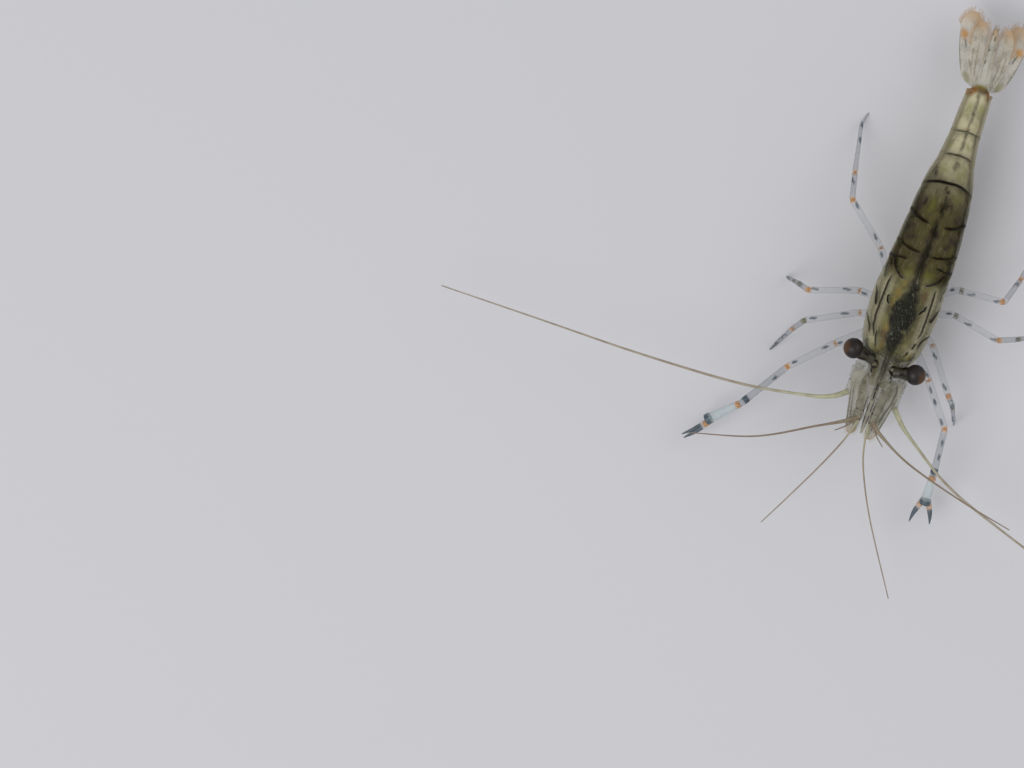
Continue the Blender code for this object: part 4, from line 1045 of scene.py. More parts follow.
def makeEye(side):
    centre, radius = np.array(eyes[side]), eye["radius"]
    root = np.array([side * (head["halfWidth"] - 0.45), centre[1] - 0.5, centre[2] - 0.7])
    towards = unit(centre - root)
    across = unit(np.cross(towards, (0, 0, 1)))
    over = np.cross(across, towards)
    rings = []
    for k in range(1, eye["rows"]):
        turn = math.pi * k / eye["rows"]
        reach = -math.cos(turn) * radius * (1.04 if turn > math.pi / 2 else 0.92)
        rings.append(ring(centre + towards * reach, across, over, radius * math.sin(turn), 48))
    ball = loft(rings)
    outwards = unit(np.array([side * 0.9, -0.1, 0.42]))
    ball["values"] = {"outer": ((ball["points"] - centre) @ outwards) / radius}
    addPiece("eye_ball_" + sideNames[side], ball, "eye", ["eye_" + sideNames[side]])
    length = np.linalg.norm(centre - root)
    path, radii = [], []
    for t in np.linspace(0, 1, 24):
        path.append(root + towards * length * 0.82 * t)
        radii.append(eye["stalkRadius"] * (0.85 - 0.12 * bump(t, 0.35, 0.18) + 0.3 * t * t))
    stalk = sweep(path, radii, 22)
    marks = []
    for turn in eye["markTurns"]:
        offset = eye["stalkRadius"] * (math.cos(turn) * across + math.sin(turn) * over)
        marks.append((0.2, [root + towards * length * t + offset for t in (0.2, 0.7)]))
    line = lineDistance(stalk["points"], marks)
    stalk["values"] = {"line": line, "solid": 0.95, "shade": 0.97, "tan": 0.0}
    addPiece("eye_stalk_" + sideNames[side], stalk, "clear", ["eyestalk_" + sideNames[side]])


addPiece("head_front", makeHead(), "clear", ["head"])
for side in sideNames:
    makeEye(side)
print("head made")


# Feelers and scales

antennule = {
    "x": 0.95, "z": 9.9, "joints": (-2.0, -5.0, -6.1, -7.35), "halfWidths": (0.85, 0.7, 0.62), "flat": 0.8,
    "outer": {
        -1: ((-0.95, -7.1, 10.1), (-2.6, -8.2, 10.5), (-5.1, -9.6, 10.6), (-11.4, -13.1, 10.2),
            (-18.8, -15.3, 9.0)),
        1: ((1.0, -7.1, 10.1), (2.4, -8.2, 10.5), (6.7, -10.3, 10.6), (13.9, -12.3, 10.2),
            (20.3, -13.6, 9.2)),
    },
    "inner": {
        -1: ((-0.7, -7.1, 9.6), (-1.4, -9.8, 9.3), (-3.0, -13.6, 8.8), (-5.4, -18.5, 8.0),
            (-7.4, -22.4, 7.2)),
        1: ((0.7, -7.1, 9.6), (0.9, -9.6, 9.3), (1.9, -12.8, 8.8), (4.6, -18.0, 7.8), (9.7, -25.9, 6.2)),
    },
    "outerRadii": (0.3, 0.06), "innerRadii": (0.22, 0.06), "branchRadii": (0.22, 0.06),
    "branch": ((0.0, 0.0, 0.0), (0.8, -1.3, 0.5), (2.0, -2.4, 0.7)),
    "spine": ((0.7, -2.6, -0.1), (0.92, -3.6, 0.0), (0.9, -4.5, 0.0)),
    "spineRadii": (0.24, 0.22, 0.2, 0.18, 0.15, 0.12, 0.09, 0.06, 0.03),
}
antenna = {
    "stem": ((1.8, -0.6, 7.7), (2.35, -1.5, 7.5), (2.6, -3.0, 7.3), (2.85, -4.7, 7.3)),
    "stemRadii": (0.85, 1.12, 0.7, 0.45),
    "flagella": {
        -1: ((-2.8, -4.5, 7.3), (-4.6, -5.75, 7.5), (-7.5, -6.6, 7.7), (-15.4, -7.9, 8.3),
            (-27.4, -8.5, 8.4), (-40.0, -8.6, 7.6), (-52.0, -8.7, 6.0)),
        1: ((2.8, -4.5, 7.3), (4.5, -6.3, 7.5), (6.7, -7.9, 7.7), (11.4, -10.9, 8.1), (17.5, -13.3, 8.4),
            (30.0, -17.0, 7.8), (44.0, -19.0, 6.0)),
    },
    "radii": (0.36, 0.07), "tooth": ((2.5, -1.0, 8.0), (2.95, -2.1, 7.9), (3.05, -3.1, 7.9)),
    "toothRadii": (0.5, 0.46, 0.4, 0.34, 0.28, 0.21, 0.14, 0.08, 0.03),
    "ridge": ((3.35, -0.9, 8.4), (3.5, -1.6, 8.4), (3.2, -2.4, 8.4)),
}


# A limb of straight segments, waisted at its joints. It keeps each point's length from the root, how
# far it lies to the side, and the lengths at which the joints lie, from the root on.
def jointedTube(points, radii, sides=14, flat=1.0, waist=0.2):
    points = [np.array(p, float) for p in points]
    path, widths, lengths, joints = [], [], [], [0.0]
    for k in range(1, len(points)):
        start, end = points[k - 1], points[k]
        length = np.linalg.norm(end - start)
        last = k == len(points) - 1
        steps = max(4, round(length / 0.12))
        for i in range(steps + (1 if last else 0)):
            t = i / steps
            plain = (last and t > 0.5) or (k == 1 and t < 0.5)
            dip = 0.0 if plain else waist * bump(min(t, 1 - t) * length, 0, 0.11)
            swell = 0.1 * bump(t, 0.9, 0.09) + 0.06 * bump(t, 0.12, 0.08)
            path.append(start + (end - start) * t)
            widths.append((radii[k - 1] + (radii[k] - radii[k - 1]) * t) * (1 - dip + swell))
            lengths.append(joints[-1] + length * t)
        joints.append(joints[-1] + length)
    tube = sweep(path, widths, sides, flat)
    tube["lengths"] = np.repeat(lengths, sides)
    around = np.cos(np.arange(sides) * 2 * math.pi / sides)
    tube["aside"] = np.repeat(widths, sides) * np.tile(around, len(widths))
    tube["joints"] = joints
    return tube


def feelerTube(points, radii, thickRoot=0.14, brown=0.0, sides=10):
    path = smoothPath(points, 22)
    steps = [0.0] + [np.linalg.norm(b - a) for a, b in zip(path, path[1:])]
    along = np.cumsum(steps)
    reach = along / along[-1]
    root, tip = radii
    slim = root * 0.5
    widths = [slim + (root - slim) * max(0.0, 1 - t / thickRoot) ** 1.2 - (slim - tip) * t ** 1.1
              for t in reach]
    tube = sweep(path, widths, sides)
    tube["values"] = {"along": np.repeat(along, sides), "reach": np.repeat(reach, sides), "brown": brown}
    return tube


def makeAntennule(side):
    x, z, joints = side * antennule["x"], antennule["z"], antennule["joints"]
    word, segments = sideNames[side], []
    for k, halfWidth in enumerate(antennule["halfWidths"]):
        shares = np.linspace(0, 1, 16)
        path = [(x, joints[k] + (joints[k + 1] - joints[k]) * t, z) for t in shares]
        widths = [halfWidth * (0.78 + 0.3 * math.sin(math.pi * min(1.0,
                                                                   t * 1.1 + 0.06)) ** 0.7) for t in shares]
        segments.append(sweep(path, widths, 18, antennule["flat"]))
    spine = [(x + side * a, y, z + b) for a, y, b in antennule["spine"]]
    segments.append(sweep(smoothPath(spine, 4), antennule["spineRadii"], 10))
    made = joinForms(segments)
    edges = [(0.06, [(x + side * 0.62, y, 0) for y in (-2.4, -4.9)]),
             (0.09, [(x - side * 0.4, y, 0) for y in (-4.2, -7.3)])]
    hoops = [(0.03, [(x + a, y, 0) for a in (-0.5, 0.0, 0.5)]) for y in (-6.1, -7.25)]
    above = made["points"][:, 2] > z
    line = np.where(above, lineDistance(flattened(made["points"]), edges + hoops), far)
    made["values"] = {"line": line, "solid": 0.4, "shade": 0.15, "tan": 0.4}
    addPiece("antennule_stem_" + word, made, "clear", ["antennule_" + word])
    outer = feelerTube(antennule["outer"][side], antennule["outerRadii"], 0.2, 0.7)
    start = np.array(antennule["outer"][side][0]) + np.array([0, 0.1, 0.1])
    branch = [start + np.array(step) for step in onSide(antennule["branch"], side)]
    outer = joinForms([outer, feelerTube(branch, antennule["branchRadii"], 0.5, 0.7)])
    addPiece("outer_flagellum_" + word, outer, "feeler", ["antennule_outer_flagellum_" + word])
    inner = feelerTube(antennule["inner"][side], antennule["innerRadii"], 0.12, 0.3)
    addPiece("inner_flagellum_" + word, inner, "feeler", ["antennule_inner_flagellum_" + word])


def makeAntenna(side):
    word = sideNames[side]
    path = onSide(antenna["stem"], side)
    stem = jointedTube(path, antenna["stemRadii"], 22)
    tooth = sweep(smoothPath(onSide(antenna["tooth"], side), 4), antenna["toothRadii"], 12)
    made = joinForms([makeForm(stem["points"], stem["faces"]), tooth])
    turns = np.linspace(0, 2 * math.pi, 14)
    hoop = (0.1, [np.array(path[2]) + 0.72 * np.array([math.cos(a), 0, math.sin(a)]) for a in turns])
    line = lineDistance(made["points"], [hoop, (0.12, onSide(antenna["ridge"], side))])
    made["values"] = {"line": line, "solid": 0.26, "shade": 0.0, "tan": 0.0}
    addPiece("antenna_stem_" + word, made, "clear", ["antenna_" + word])
    flagellum = feelerTube(antenna["flagella"][side], antenna["radii"], 0.12)
    nodes = [f"antenna_flagellum_{word}_{part}" for part in (1, 2)]
    addPiece("long_flagellum_" + word, flagellum, "feeler", nodes)


# Thin plates. A leaf's edges and marks are (y, x) pairs for the left side; lean skews it about the
# fan's root.

fanRoot, fanLean = 34.0, -0.08
scaleLeaf = {
    "inner": ((-9.1, 0.98), (-8.7, 0.62), (-7.6, 0.5), (-5.0, 0.75), (-3.0, 1.15), (-1.6, 1.5)),
    "outer": ((-9.1, 1.4), (-8.7, 1.78), (-7.6, 2.1), (-5.0, 2.65), (-3.2, 3.05), (-2.0, 2.9), (-1.6, 2.4)),
    "heights": (8.5, 8.7), "tip": -9.1, "thick": 0.2, "lean": 0.0, "veil": 0.45,
    "line": ((0.07, ((-8.5, 1.75), (-7.4, 2.0), (-5.0, 2.5), (-3.2, 2.85))), (0.06, ((-8.2, 1.5),
        (-7.2, 1.72), (-5.0, 2.2), (-3.3, 2.55))), (0.06, ((-8.4, 1.1), (-6.5, 1.3), (-4.0, 1.75)))),
    "tipLength": 0.3, "warm": (), "moss": ((0.3, ((-8.8, 0.8), (-8.2, 0.7))),),
    "ribs": (((-9.0, 1.5), (-7.4, 1.85), (-5.0, 2.35), (-3.0, 2.7)), ((-8.6, 1.1), (-6.5, 1.3),
        (-4.0, 1.75))),
}
uropods = {
    "endopod": {
        "inner": ((34.0, 0.3), (35.0, 0.6), (37.0, 0.65), (40.0, 0.75), (41.2, 1.0), (41.75, 1.3)),
        "outer": ((34.0, 0.95), (35.0, 1.7), (37.0, 2.2), (39.0, 2.45), (40.5, 2.4), (41.4, 2.1),
            (41.75, 1.8)),
        "lower": 1, "tip": 41.75, "thick": 0.2, "lean": fanLean, "veil": 0.0,
        "line": ((0.05, ((35.0, 1.1), (37.0, 1.4), (39.5, 1.55))), (0.04, ((36.0, 1.75), (38.5, 2.05)))),
        "tipLength": 1.1, "warm": (), "moss": (), "ribs": (((34.4, 0.9), (37.0, 1.4), (41.0, 1.6)),),
    },
    "exopod": {
        "inner": ((34.0, 0.5), (35.0, 1.15), (38.0, 1.4), (40.5, 1.7), (41.8, 1.95), (42.4, 2.25),
            (42.6, 2.5)),
        "outer": ((34.0, 1.3), (34.5, 2.2), (35.0, 2.7), (37.1, 3.45), (40.3, 4.15), (41.0, 4.15),
            (42.0, 3.75), (42.5, 3.2), (42.6, 3.0)),
        "lower": 2, "tip": 42.6, "thick": 0.2, "lean": fanLean, "veil": 0.0,
        "line": ((0.1, ((35.3, 1.45), (36.2, 1.8), (37.1, 2.2))), (0.09, ((38.2, 2.85), (39.3, 3.3))),
            (0.05, ((35.4, 2.8), (37.2, 3.4), (40.0, 4.15)))),
        "tipLength": 1.3, "warm": ((0.45, ((39.4, 3.25), (39.9, 3.6))),),
        "moss": ((0.35, ((34.4, 1.7), (35.4, 2.3))),),
        "ribs": (((34.4, 1.2), (37.1, 2.2), (41.6, 3.1)), ((35.0, 2.6), (37.1, 3.35), (40.3, 4.1))),
    },
}
telsonEdge = ((33.6, 0.85), (34.3, 0.98), (37.0, 0.74), (40.5, 0.46), (40.95, 0.4), (41.2, 0.26))
telson = {
    "inner": tuple((y, -x) for y, x in telsonEdge), "outer": telsonEdge, "heights": (8.6, 7.3), "tip": 41.2,
    "thick": 0.5, "lean": fanLean, "veil": 0.25,
    "line": ((0.03, ((35.0, -0.45), (38.0, -0.4), (41.0, -0.3))), (0.03, ((35.0, 0.3), (38.0, 0.25),
        (41.0, 0.2))), (0.1, ((37.0, -0.36), (37.4, -0.3))), (0.1, ((38.5, -0.25), (38.9, -0.2))), (0.09,
        ((38.8, 0.4), (39.0, 0.42))), (0.12, ((39.9, 0.1), (40.4, 0.15))), (0.08, ((40.5, -0.2),
        (40.8, -0.2)))),
    "tipLength": 1.0, "warm": (), "moss": (),
    "ribs": (((34.2, -0.45), (41.0, -0.25)), ((34.2, 0.45), (41.0, 0.25))),
}
# Spines: y, then the inset from the edge on the sides, or x at the tip, and length and radius
telsonSideSpines = ((37.7, 0.16, 0.45, 0.08), (39.4, 0.16, 0.45, 0.08))
telsonTipSpines = ((41.1, 0.3, 0.5, 0.06), (41.15, 0.13, 0.9, 0.06))
telsonBristles = {"count": 16, "halfWidth": 0.25, "y": 41.15}
uropodRoot = {"height": 8.5, "drop": 1.1}  # each plate lies this much lower than the one above
fringeEnds = {"endopod": (36.5, 38.5), "exopod": (36.5, 40.6)}


# Where a leaf begins and ends along y
def leafEnds(leaf):
    return leaf["inner"][0][0], max(leaf["inner"][-1][0], leaf["outer"][-1][0])


# The height of a leaf's middle plane
def leafLevel(leaf, y):
    first, last = leafEnds(leaf)
    return leaf["heights"][0] + (leaf["heights"][1] - leaf["heights"][0]) * (y - first) / (last - first)


# A leaf's two faces as one closed grid: over the upper and back under the lower
def foldedGrid(upper, lower, rows, columns):
    shape = (rows, columns, 3)
    return np.concatenate([upper.reshape(shape), lower.reshape(shape)[:, ::-1]], axis=1)


def makeLeaf(leaf, side, rows=70, columns=27, droop=0.0):
    across = [math.sin(math.pi / 2 * (2 * i / (columns - 1) - 1)) for i in range(columns)]
    upper, lower = [], []
    for y in np.linspace(*leafEnds(leaf), rows):
        x0, x1 = curveAt(leaf["inner"], y), curveAt(leaf["outer"], y)
        level = leafLevel(leaf, y)
        middle, half = (x0 + x1) / 2, max((x1 - x0) / 2, 0.03)
        for a in across:
            deep = leaf["thick"] / 2 * math.sqrt(max(0.0, 1 - abs(a) ** 8)) + 0.012
            upper.append((middle + half * a, y, level - droop * a * a + deep))
            lower.append((middle + half * a, y, level - droop * a * a - deep))
    upper, lower = np.array(upper), np.array(lower)
    flat = flattened(upper)
    ribs = lineDistance(flat, [(0.0, flatPlaces(path)) for path in leaf["ribs"]])
    raised = np.exp(-(np.maximum(ribs, 0) / 0.12) ** 2)
    upper[:, 2] += 0.07 * raised
    lower[:, 2] -= 0.04 * raised
    made = loft(list(foldedGrid(upper, lower, rows, columns)))
    flat = foldedGrid(flat, flat, rows, columns).reshape(-1, 3)
    if side < 0:
        made["points"] = made["points"] * np.array([-1, 1, 1])
        made["faces"] = [face[::-1] for face in made["faces"]]
    made["points"][:, 0] += leaf["lean"] * (made["points"][:, 1] - fanRoot)
    for name in ("line", "warm", "moss"):
        made["values"][name] = lineDistance(flat, [(half, flatPlaces(path)) for half, path in leaf[name]])
    made["values"]["tip"] = np.abs(flat[:, 1] - leaf["tip"]) - leaf["tipLength"]
    made["values"]["veil"] = leaf["veil"]
    return made


# Roots and ways of the bristles round a leaf's rim, from one place on its inner edge over the tip to
# one on the outer
def rimOf(leaf, side, innerFrom, outerFrom, spacing):
    inner = [(curveAt(leaf["inner"], y), y) for y in np.linspace(innerFrom, leaf["tip"], 90)]
    outer = [(curveAt(leaf["outer"], y), y) for y in np.linspace(leaf["tip"], outerFrom, 90)]
    path = np.array(inner + outer)
    along = np.concatenate([[0], np.cumsum(np.linalg.norm(np.diff(path, axis=0), axis=1))])
    axis = 1 if leaf["tip"] > innerFrom else -1
    roots, ways = [], []
    for place in np.arange(0, along[-1], spacing):
        k = min(int(np.searchsorted(along, place)), len(path) - 2)
        x, y = path[k]
        run = unit(path[min(k + 2, len(path) - 1)] - path[max(k - 2, 0)])
        normal = np.array([-run[1], run[0]]) * axis
        roots.append(np.array([side * x + leaf["lean"] * (y - fanRoot), y, leafLevel(leaf, y)]))
        ways.append(np.array([side * normal[0] * 0.8, normal[1] * 0.8 + 0.7 * axis, 0.0]))
    return roots, ways


def makeScale(side):
    word = sideNames[side]
    leaf = dict(scaleLeaf)
    if side > 0:
        leaf["line"] += ((0.1, ((-1.9, 2.3), (-3.0, 2.5), (-4.5, 2.3), (-5.5, 1.95), (-7.2, 1.6))),)
    addPiece("scale_blade_" + word, makeLeaf(leaf, side), "fan", ["antennal_scale_" + word])
    roots, ways = rimOf(leaf, side, -3.5, -8.6, 0.09)
    fringe = makeBristles(roots, lambda k: ways[k], lambda k: 0.45, 0.016, 0.08, orange=0.3, seed=21 + side)
    addPiece("scale_fringe_" + word, fringe, "bristle")


for side in sideNames:
    makeAntennule(side)
    makeScale(side)
    makeAntenna(side)
print("feelers made")


# Legs. Each row gives the far ends of a leg's segments after the hip.

hip = {"x": 1.35, "gap": 0.3, "coxa": 0.55, "height": 4.7}
walkingLegs = {
    (3, -1): ((-4.8, 4.6, 4.8), (-10.5, 1.6, 8.3), (-11.4, 0.3, 5.7), (-12.6, -2.0, 1.2),
        (-13.0, -2.85, 0.04)),
    (3, 1): ((4.7, 4.0, 4.8), (8.3, -1.1, 8.4), (9.25, -2.0, 5.6), (10.2, -3.6, 1.1), (10.4, -4.1, 0.04)),
    (4, -1): ((-5.6, 7.1, 4.8), (-11.3, 5.1, 8.8), (-12.5, 5.5, 6.1), (-13.7, 5.8, 1.2),
        (-14.0, 5.9, 0.04)),
    (4, 1): ((6.0, 8.1, 4.8), (11.6, 6.9, 8.6), (13.8, 7.8, 6.4), (16.2, 9.0, 1.3), (16.8, 9.4, 0.04)),
    (5, -1): ((-4.7, 12.6, 4.5), (-9.9, 16.9, 6.8), (-10.6, 20.0, 4.8), (-11.7, 25.8, 0.9),
        (-11.3, 27.3, 0.04)),
    (5, 1): ((5.3, 11.0, 4.6), (10.9, 11.4, 8.0), (11.9, 14.5, 6.1), (13.1, 19.8, 1.2), (12.9, 21.3, 0.04)),
}
clawLegs = {
    (1, -1): ((-2.2, -0.4, 3.9), (-2.6, -3.4, 4.6), (-1.7, -6.0, 3.4), (-1.2, -7.0, 2.5), (-1.2, -8.1, 1.6),
        (-0.7, -8.1, 1.9)),
    (1, 1): ((2.2, -0.4, 3.9), (2.6, -3.4, 4.6), (1.8, -6.0, 3.5), (1.3, -7.0, 2.7), (1.3, -8.1, 1.8),
        (0.8, -8.1, 2.1)),
    (2, -1): ((-6.1, 0.3, 5.0), (-10.5, -4.1, 6.2), (-14.2, -10.0, 5.2), (-17.4, -13.2, 3.8),
        (-19.62, -15.8, 2.6), (-19.26, -16.14, 2.8)),
    (2, 1): ((5.7, -0.2, 5.2), (9.3, -4.9, 6.8), (9.9, -10.4, 5.0), (10.1, -14.0, 3.6), (9.1, -16.6, 2.5),
        (11.5, -16.1, 2.5)),
}
legRadii = {
    "walking": (0.48, 0.48, 0.4, 0.36, 0.31, 0.22, 0.09), 1: (0.42, 0.42, 0.4, 0.34, 0.32, 0.4),
    2: (0.5, 0.5, 0.46, 0.38, 0.42, 0.64),
}
# Painted bands, as a joint's number counted from the root plus the share of the next segment
legMarks = {
    (1, 1): {"cool": (2.9, 4.9)}, (1, -1): {"cool": (2.9, 4.9)},
    (2, -1): {"warm": (2.0, 3.01, 4.09), "cool": (1.9, 2.2, 2.86, 3.3), "band": (3.9, 4.95)},
    (2, 1): {"warm": (1.99, 3.01, 4.14), "cool": (1.86, 2.18, 2.44, 2.86, 3.31, 3.62),
        "band": (3.94, 4.94)},
    (3, -1): {"warm": (1.93, 4.02), "cool": (2.24, 2.84, 4.5, 4.7, 5.3, 5.75), "olive": (3.04, 5.0)},
    (3, 1): {"warm": (2.02, 3.06), "cool": (2.22, 2.83, 3.73, 4.87, 4.93), "olive": (4.15,)},
    (4, -1): {"warm": (1.96, 3.0), "cool": (1.78, 2.24, 2.87, 5.2, 5.7), "olive": (3.96, 4.5)},
    (4, 1): {"warm": (3.08,), "cool": (1.83, 2.32, 2.92), "olive": (2.03, 4.07)},
    (5, -1): {"warm": (2.01, 2.99, 4.0), "cool": (1.84, 2.23, 2.87, 3.68, 4.66, 4.97)},
    (5, 1): {"warm": (2.97, 4.02), "cool": (1.86, 2.32, 2.85, 3.76), "olive": (2.1,)},
}
markHalfLengths = {"warm": 0.3, "band": 0.34, "olive": 0.32}
streak = {"halfWidth": 0.17, "stretch": 0.42, "aside": 0.12}
beadShares = (0.45, 0.72)  # of the limb's own radius, at the hip and beyond it
hipPlace = 2.5  # marks before this place are narrower, by hipFade at each end
hipFade = 0.14
legSpines = {"count": 7, "first": 0.18, "step": 0.12, "below": 0.24, "reach": 0.28, "drop": 0.14,
             "radii": (0.05, 0.012)}
# A finger as shares of the palm's radius; its marks are half lengths, the cool one as a share of the finger
finger = {"back": 0.9, "aside": 0.4, "kneeAside": 0.22, "width": 0.52, "kneePlace": 0.55, "tipRadius": 0.05,
          "warm": 0.34, "cool": 0.38, "coolPlace": 0.58}
plainLimb = {"warm": far, "cool": far, "olive": far, "palm": 0.0}


def limbValues(tube, marks, palm=0.0):
    lengths, joints = tube["lengths"], tube["joints"]
    values = {kind: np.full(len(lengths), far) for kind in ("warm", "cool", "olive")}
    for kind, places in marks.items():
        for place in places:
            k = min(int(place), len(joints) - 2)
            centre = joints[k] + (place - k) * (joints[k + 1] - joints[k])
            if kind == "cool":
                aside = tube["aside"] - streak["aside"] * (-1) ** k
                away = np.hypot((lengths - centre) * streak["stretch"], aside) - streak["halfWidth"]
            else:
                away = np.abs(lengths - centre) - markHalfLengths[kind] + hipFade * (place < hipPlace)
            name = "cool" if kind == "band" else kind
            values[name] = np.minimum(values[name], away)
    values["palm"] = palm
    values["toTip"] = joints[3] - lengths  # below 0 past the merus
    return values


# Pigment inside the limb at its marks, so that they look full from every side
def makeBeads(tube, marks):
    lengths, joints, forms = tube["lengths"], tube["joints"], []
    for kind in ("warm", "olive", "band"):
        for place in marks.get(kind, ()):
            k = min(int(place), len(joints) - 2)
            away = np.abs(lengths - joints[k] - (place - k) * (joints[k + 1] - joints[k]))
            near = tube["points"][away < away.min() + 1e-6]
            middle = near.mean(0)
            radius = beadShares[place > hipPlace] * np.linalg.norm(near - middle, axis=1).min()
            turns = np.linspace(0.35, math.pi - 0.35, 7)
            ball = sweep([middle - np.array([0, 0, radius * math.cos(a)]) for a in turns],
                         [radius * math.sin(a) for a in turns], 10)
            ball["values"] = {**plainLimb, "cool" if kind == "band" else kind: -1.0}
            forms.append(ball)
    return forms


def hipPoints(number, side):
    y, height = thoraxFloor["legPlaces"][number - 1], hip["height"]
    return [np.array([side * (hip["x"] - 0.25), y, height + 0.1]),
            np.array([side * (hip["x"] + hip["gap"] + hip["coxa"]), y, height])]


# The limb itself, with its marks, and the beads in it
def limbForms(tube, marks, palm=0.0):
    return [makeForm(tube["points"], tube["faces"], **limbValues(tube, marks, palm)),
            *makeBeads(tube, marks)]


def makeWalkingLeg(number, side):
    joints = walkingLegs[(number, side)]
    tube = jointedTube([*hipPoints(number, side), *joints], legRadii["walking"])
    forms = limbForms(tube, legMarks[(number, side)])
    start, end = np.array(joints[-3]), np.array(joints[-2])
    way = unit(end - start)
    below = unit(np.array([0, 0, -1.0]) - way * -way[2])
    for k in range(legSpines["count"]):
        place = legSpines["first"] + legSpines["step"] * k
        root = start + (end - start) * place + below * legSpines["below"]
        tip = root + way * legSpines["reach"] + below * legSpines["drop"]
        spine = sweep([root, tip], legSpines["radii"], 5)
        spine["values"] = plainLimb
        forms.append(spine)
    node = f"walking_leg_{number}_{sideNames[side]}"
    addPiece("limb_" + node, joinForms(forms), "limb", [node])


def makeClawLeg(number, side):
    joints = [np.array(p) for p in clawLegs[(number, side)]]
    palmEnd = joints[3]
    tube = jointedTube([*hipPoints(number, side), *joints[:4]], legRadii[number])
    wrist = tube["joints"][4]
    inPalm = ramp(tube["lengths"], wrist, wrist + 0.8)
    forms = limbForms(tube, legMarks[(number, side)], inPalm)
    palmRadius = legRadii[number][-1]
    back = unit(joints[2] - palmEnd)
    for tip in joints[4:]:
        away = tip - palmEnd
        across = unit(away - back * away.dot(back))
        length = np.linalg.norm(away)
        root = palmEnd + back * palmRadius * finger["back"] + across * palmRadius * finger["aside"]
        knee = root + (tip - root) * finger["kneePlace"] + across * palmRadius * finger["kneeAside"]
        path = smoothPath([root, knee, tip], 8)
        thick = palmRadius * finger["width"]
        widths = [thick * (1 - t ** 1.6) + finger["tipRadius"] for t in np.linspace(0, 1, len(path))]
        form = sweep(path, widths, 12)
        gone = np.repeat(np.linspace(0, length + palmRadius, len(path)), 12)
        warm = np.abs(gone - palmRadius - 0.1) - finger["warm"]
        cool = np.abs(gone - palmRadius - finger["coolPlace"] * length) - finger["cool"] * length
        form["values"] = {**plainLimb, "warm": warm, "cool": cool, "palm": 0.6}
        forms.append(form)
    node = f"claw_leg_{number}_{sideNames[side]}"
    addPiece("limb_" + node, joinForms(forms), "limb", [node])


mouthLeg = {
    "path": ((0.95, 1.5, 5.1), (1.15, -1.2, 4.9), (1.15, -3.2, 5.9), (1.0, -5.4, 6.1)),
    "radii": (0.42, 0.4, 0.34, 0.16), "marks": {"cool": (2.0,)}, "bristles": 30,
}


def makeMouthLeg(side):
    word, count = sideNames[side], mouthLeg["bristles"]
    path = onSide(mouthLeg["path"], side)
    tube = jointedTube(path, mouthLeg["radii"], 12)
    made = makeForm(tube["points"], tube["faces"], **limbValues(tube, mouthLeg["marks"]))
    addPiece("mouth_leg_" + word, made, "limb", ["maxilliped_" + word])
    start, run = np.array(path[1]), np.array(path[3]) - np.array(path[1])
    roots = [start + run * (0.45 + 0.5 * k / (count - 1)) + np.array([0, 0, -0.05]) for k in range(count)]
    ways = [(side * -0.5, -0.5, -0.5 if k % 2 else 0.5) for k in range(count)]
    fringe = makeBristles(roots, lambda k: ways[k], lambda k: 0.55, 0.018, 0.3, seed=8)
    addPiece("mouth_bristles_" + word, fringe, "bristle")


for number, side in walkingLegs:
    makeWalkingLeg(number, side)
for number, side in clawLegs:
    makeClawLeg(number, side)
for side in sideNames:
    makeMouthLeg(side)
print("legs made")


# Swimmerets

swimmeret = {
    "lengths": (3.6, 3.9, 3.9, 3.5, 2.8), "lean": 38, "radius": 0.4, "stalk": 1.5, "x": 1.2,
    "clearance": 0.72, "stalkPath": ((0.0, 0.35), (0.05, -0.4), (0.1, -1.0)),
    "stalkRadii": (0.38, 0.4, 0.36, 0.3), "blades": ((0.5, 1.0), (-0.26, 0.82)), "halfWidth": 0.5,
}


def swimmeretBlade(start, end, halfWidth):
    shares = np.linspace(0, 1, 22)
    path = [np.array(start) + (np.array(end) - np.array(start)) * t for t in shares]
    widths = [halfWidth * (0.35 + 0.65 * math.sin(math.pi * min(1.0,
                                                                0.12 + 0.95 * t)) ** 0.7) for t in shares]
    widths[-1] = 0.08
    leaf = sweep(path, widths, 14, 0.32)
    leaf["values"] = {**plainLimb, "cool": np.repeat(np.abs(shares - 0.12) * 3 - 0.12, 14)}
    way = unit(path[-1] - path[0])
    across = unit(np.cross(way, (0, 0, 1)))
    roots, ways = [], []
    for k in range(26):
        t = 0.25 + 0.75 * k / 25
        for edge in (-1, 1):
            reach = halfWidth * 0.75 * (1 - 0.7 * t ** 4)
            roots.append(path[0] + (path[-1] - path[0]) * t + across * edge * reach)
            ways.append(across * edge * 0.6 + way)
    return leaf, roots, ways


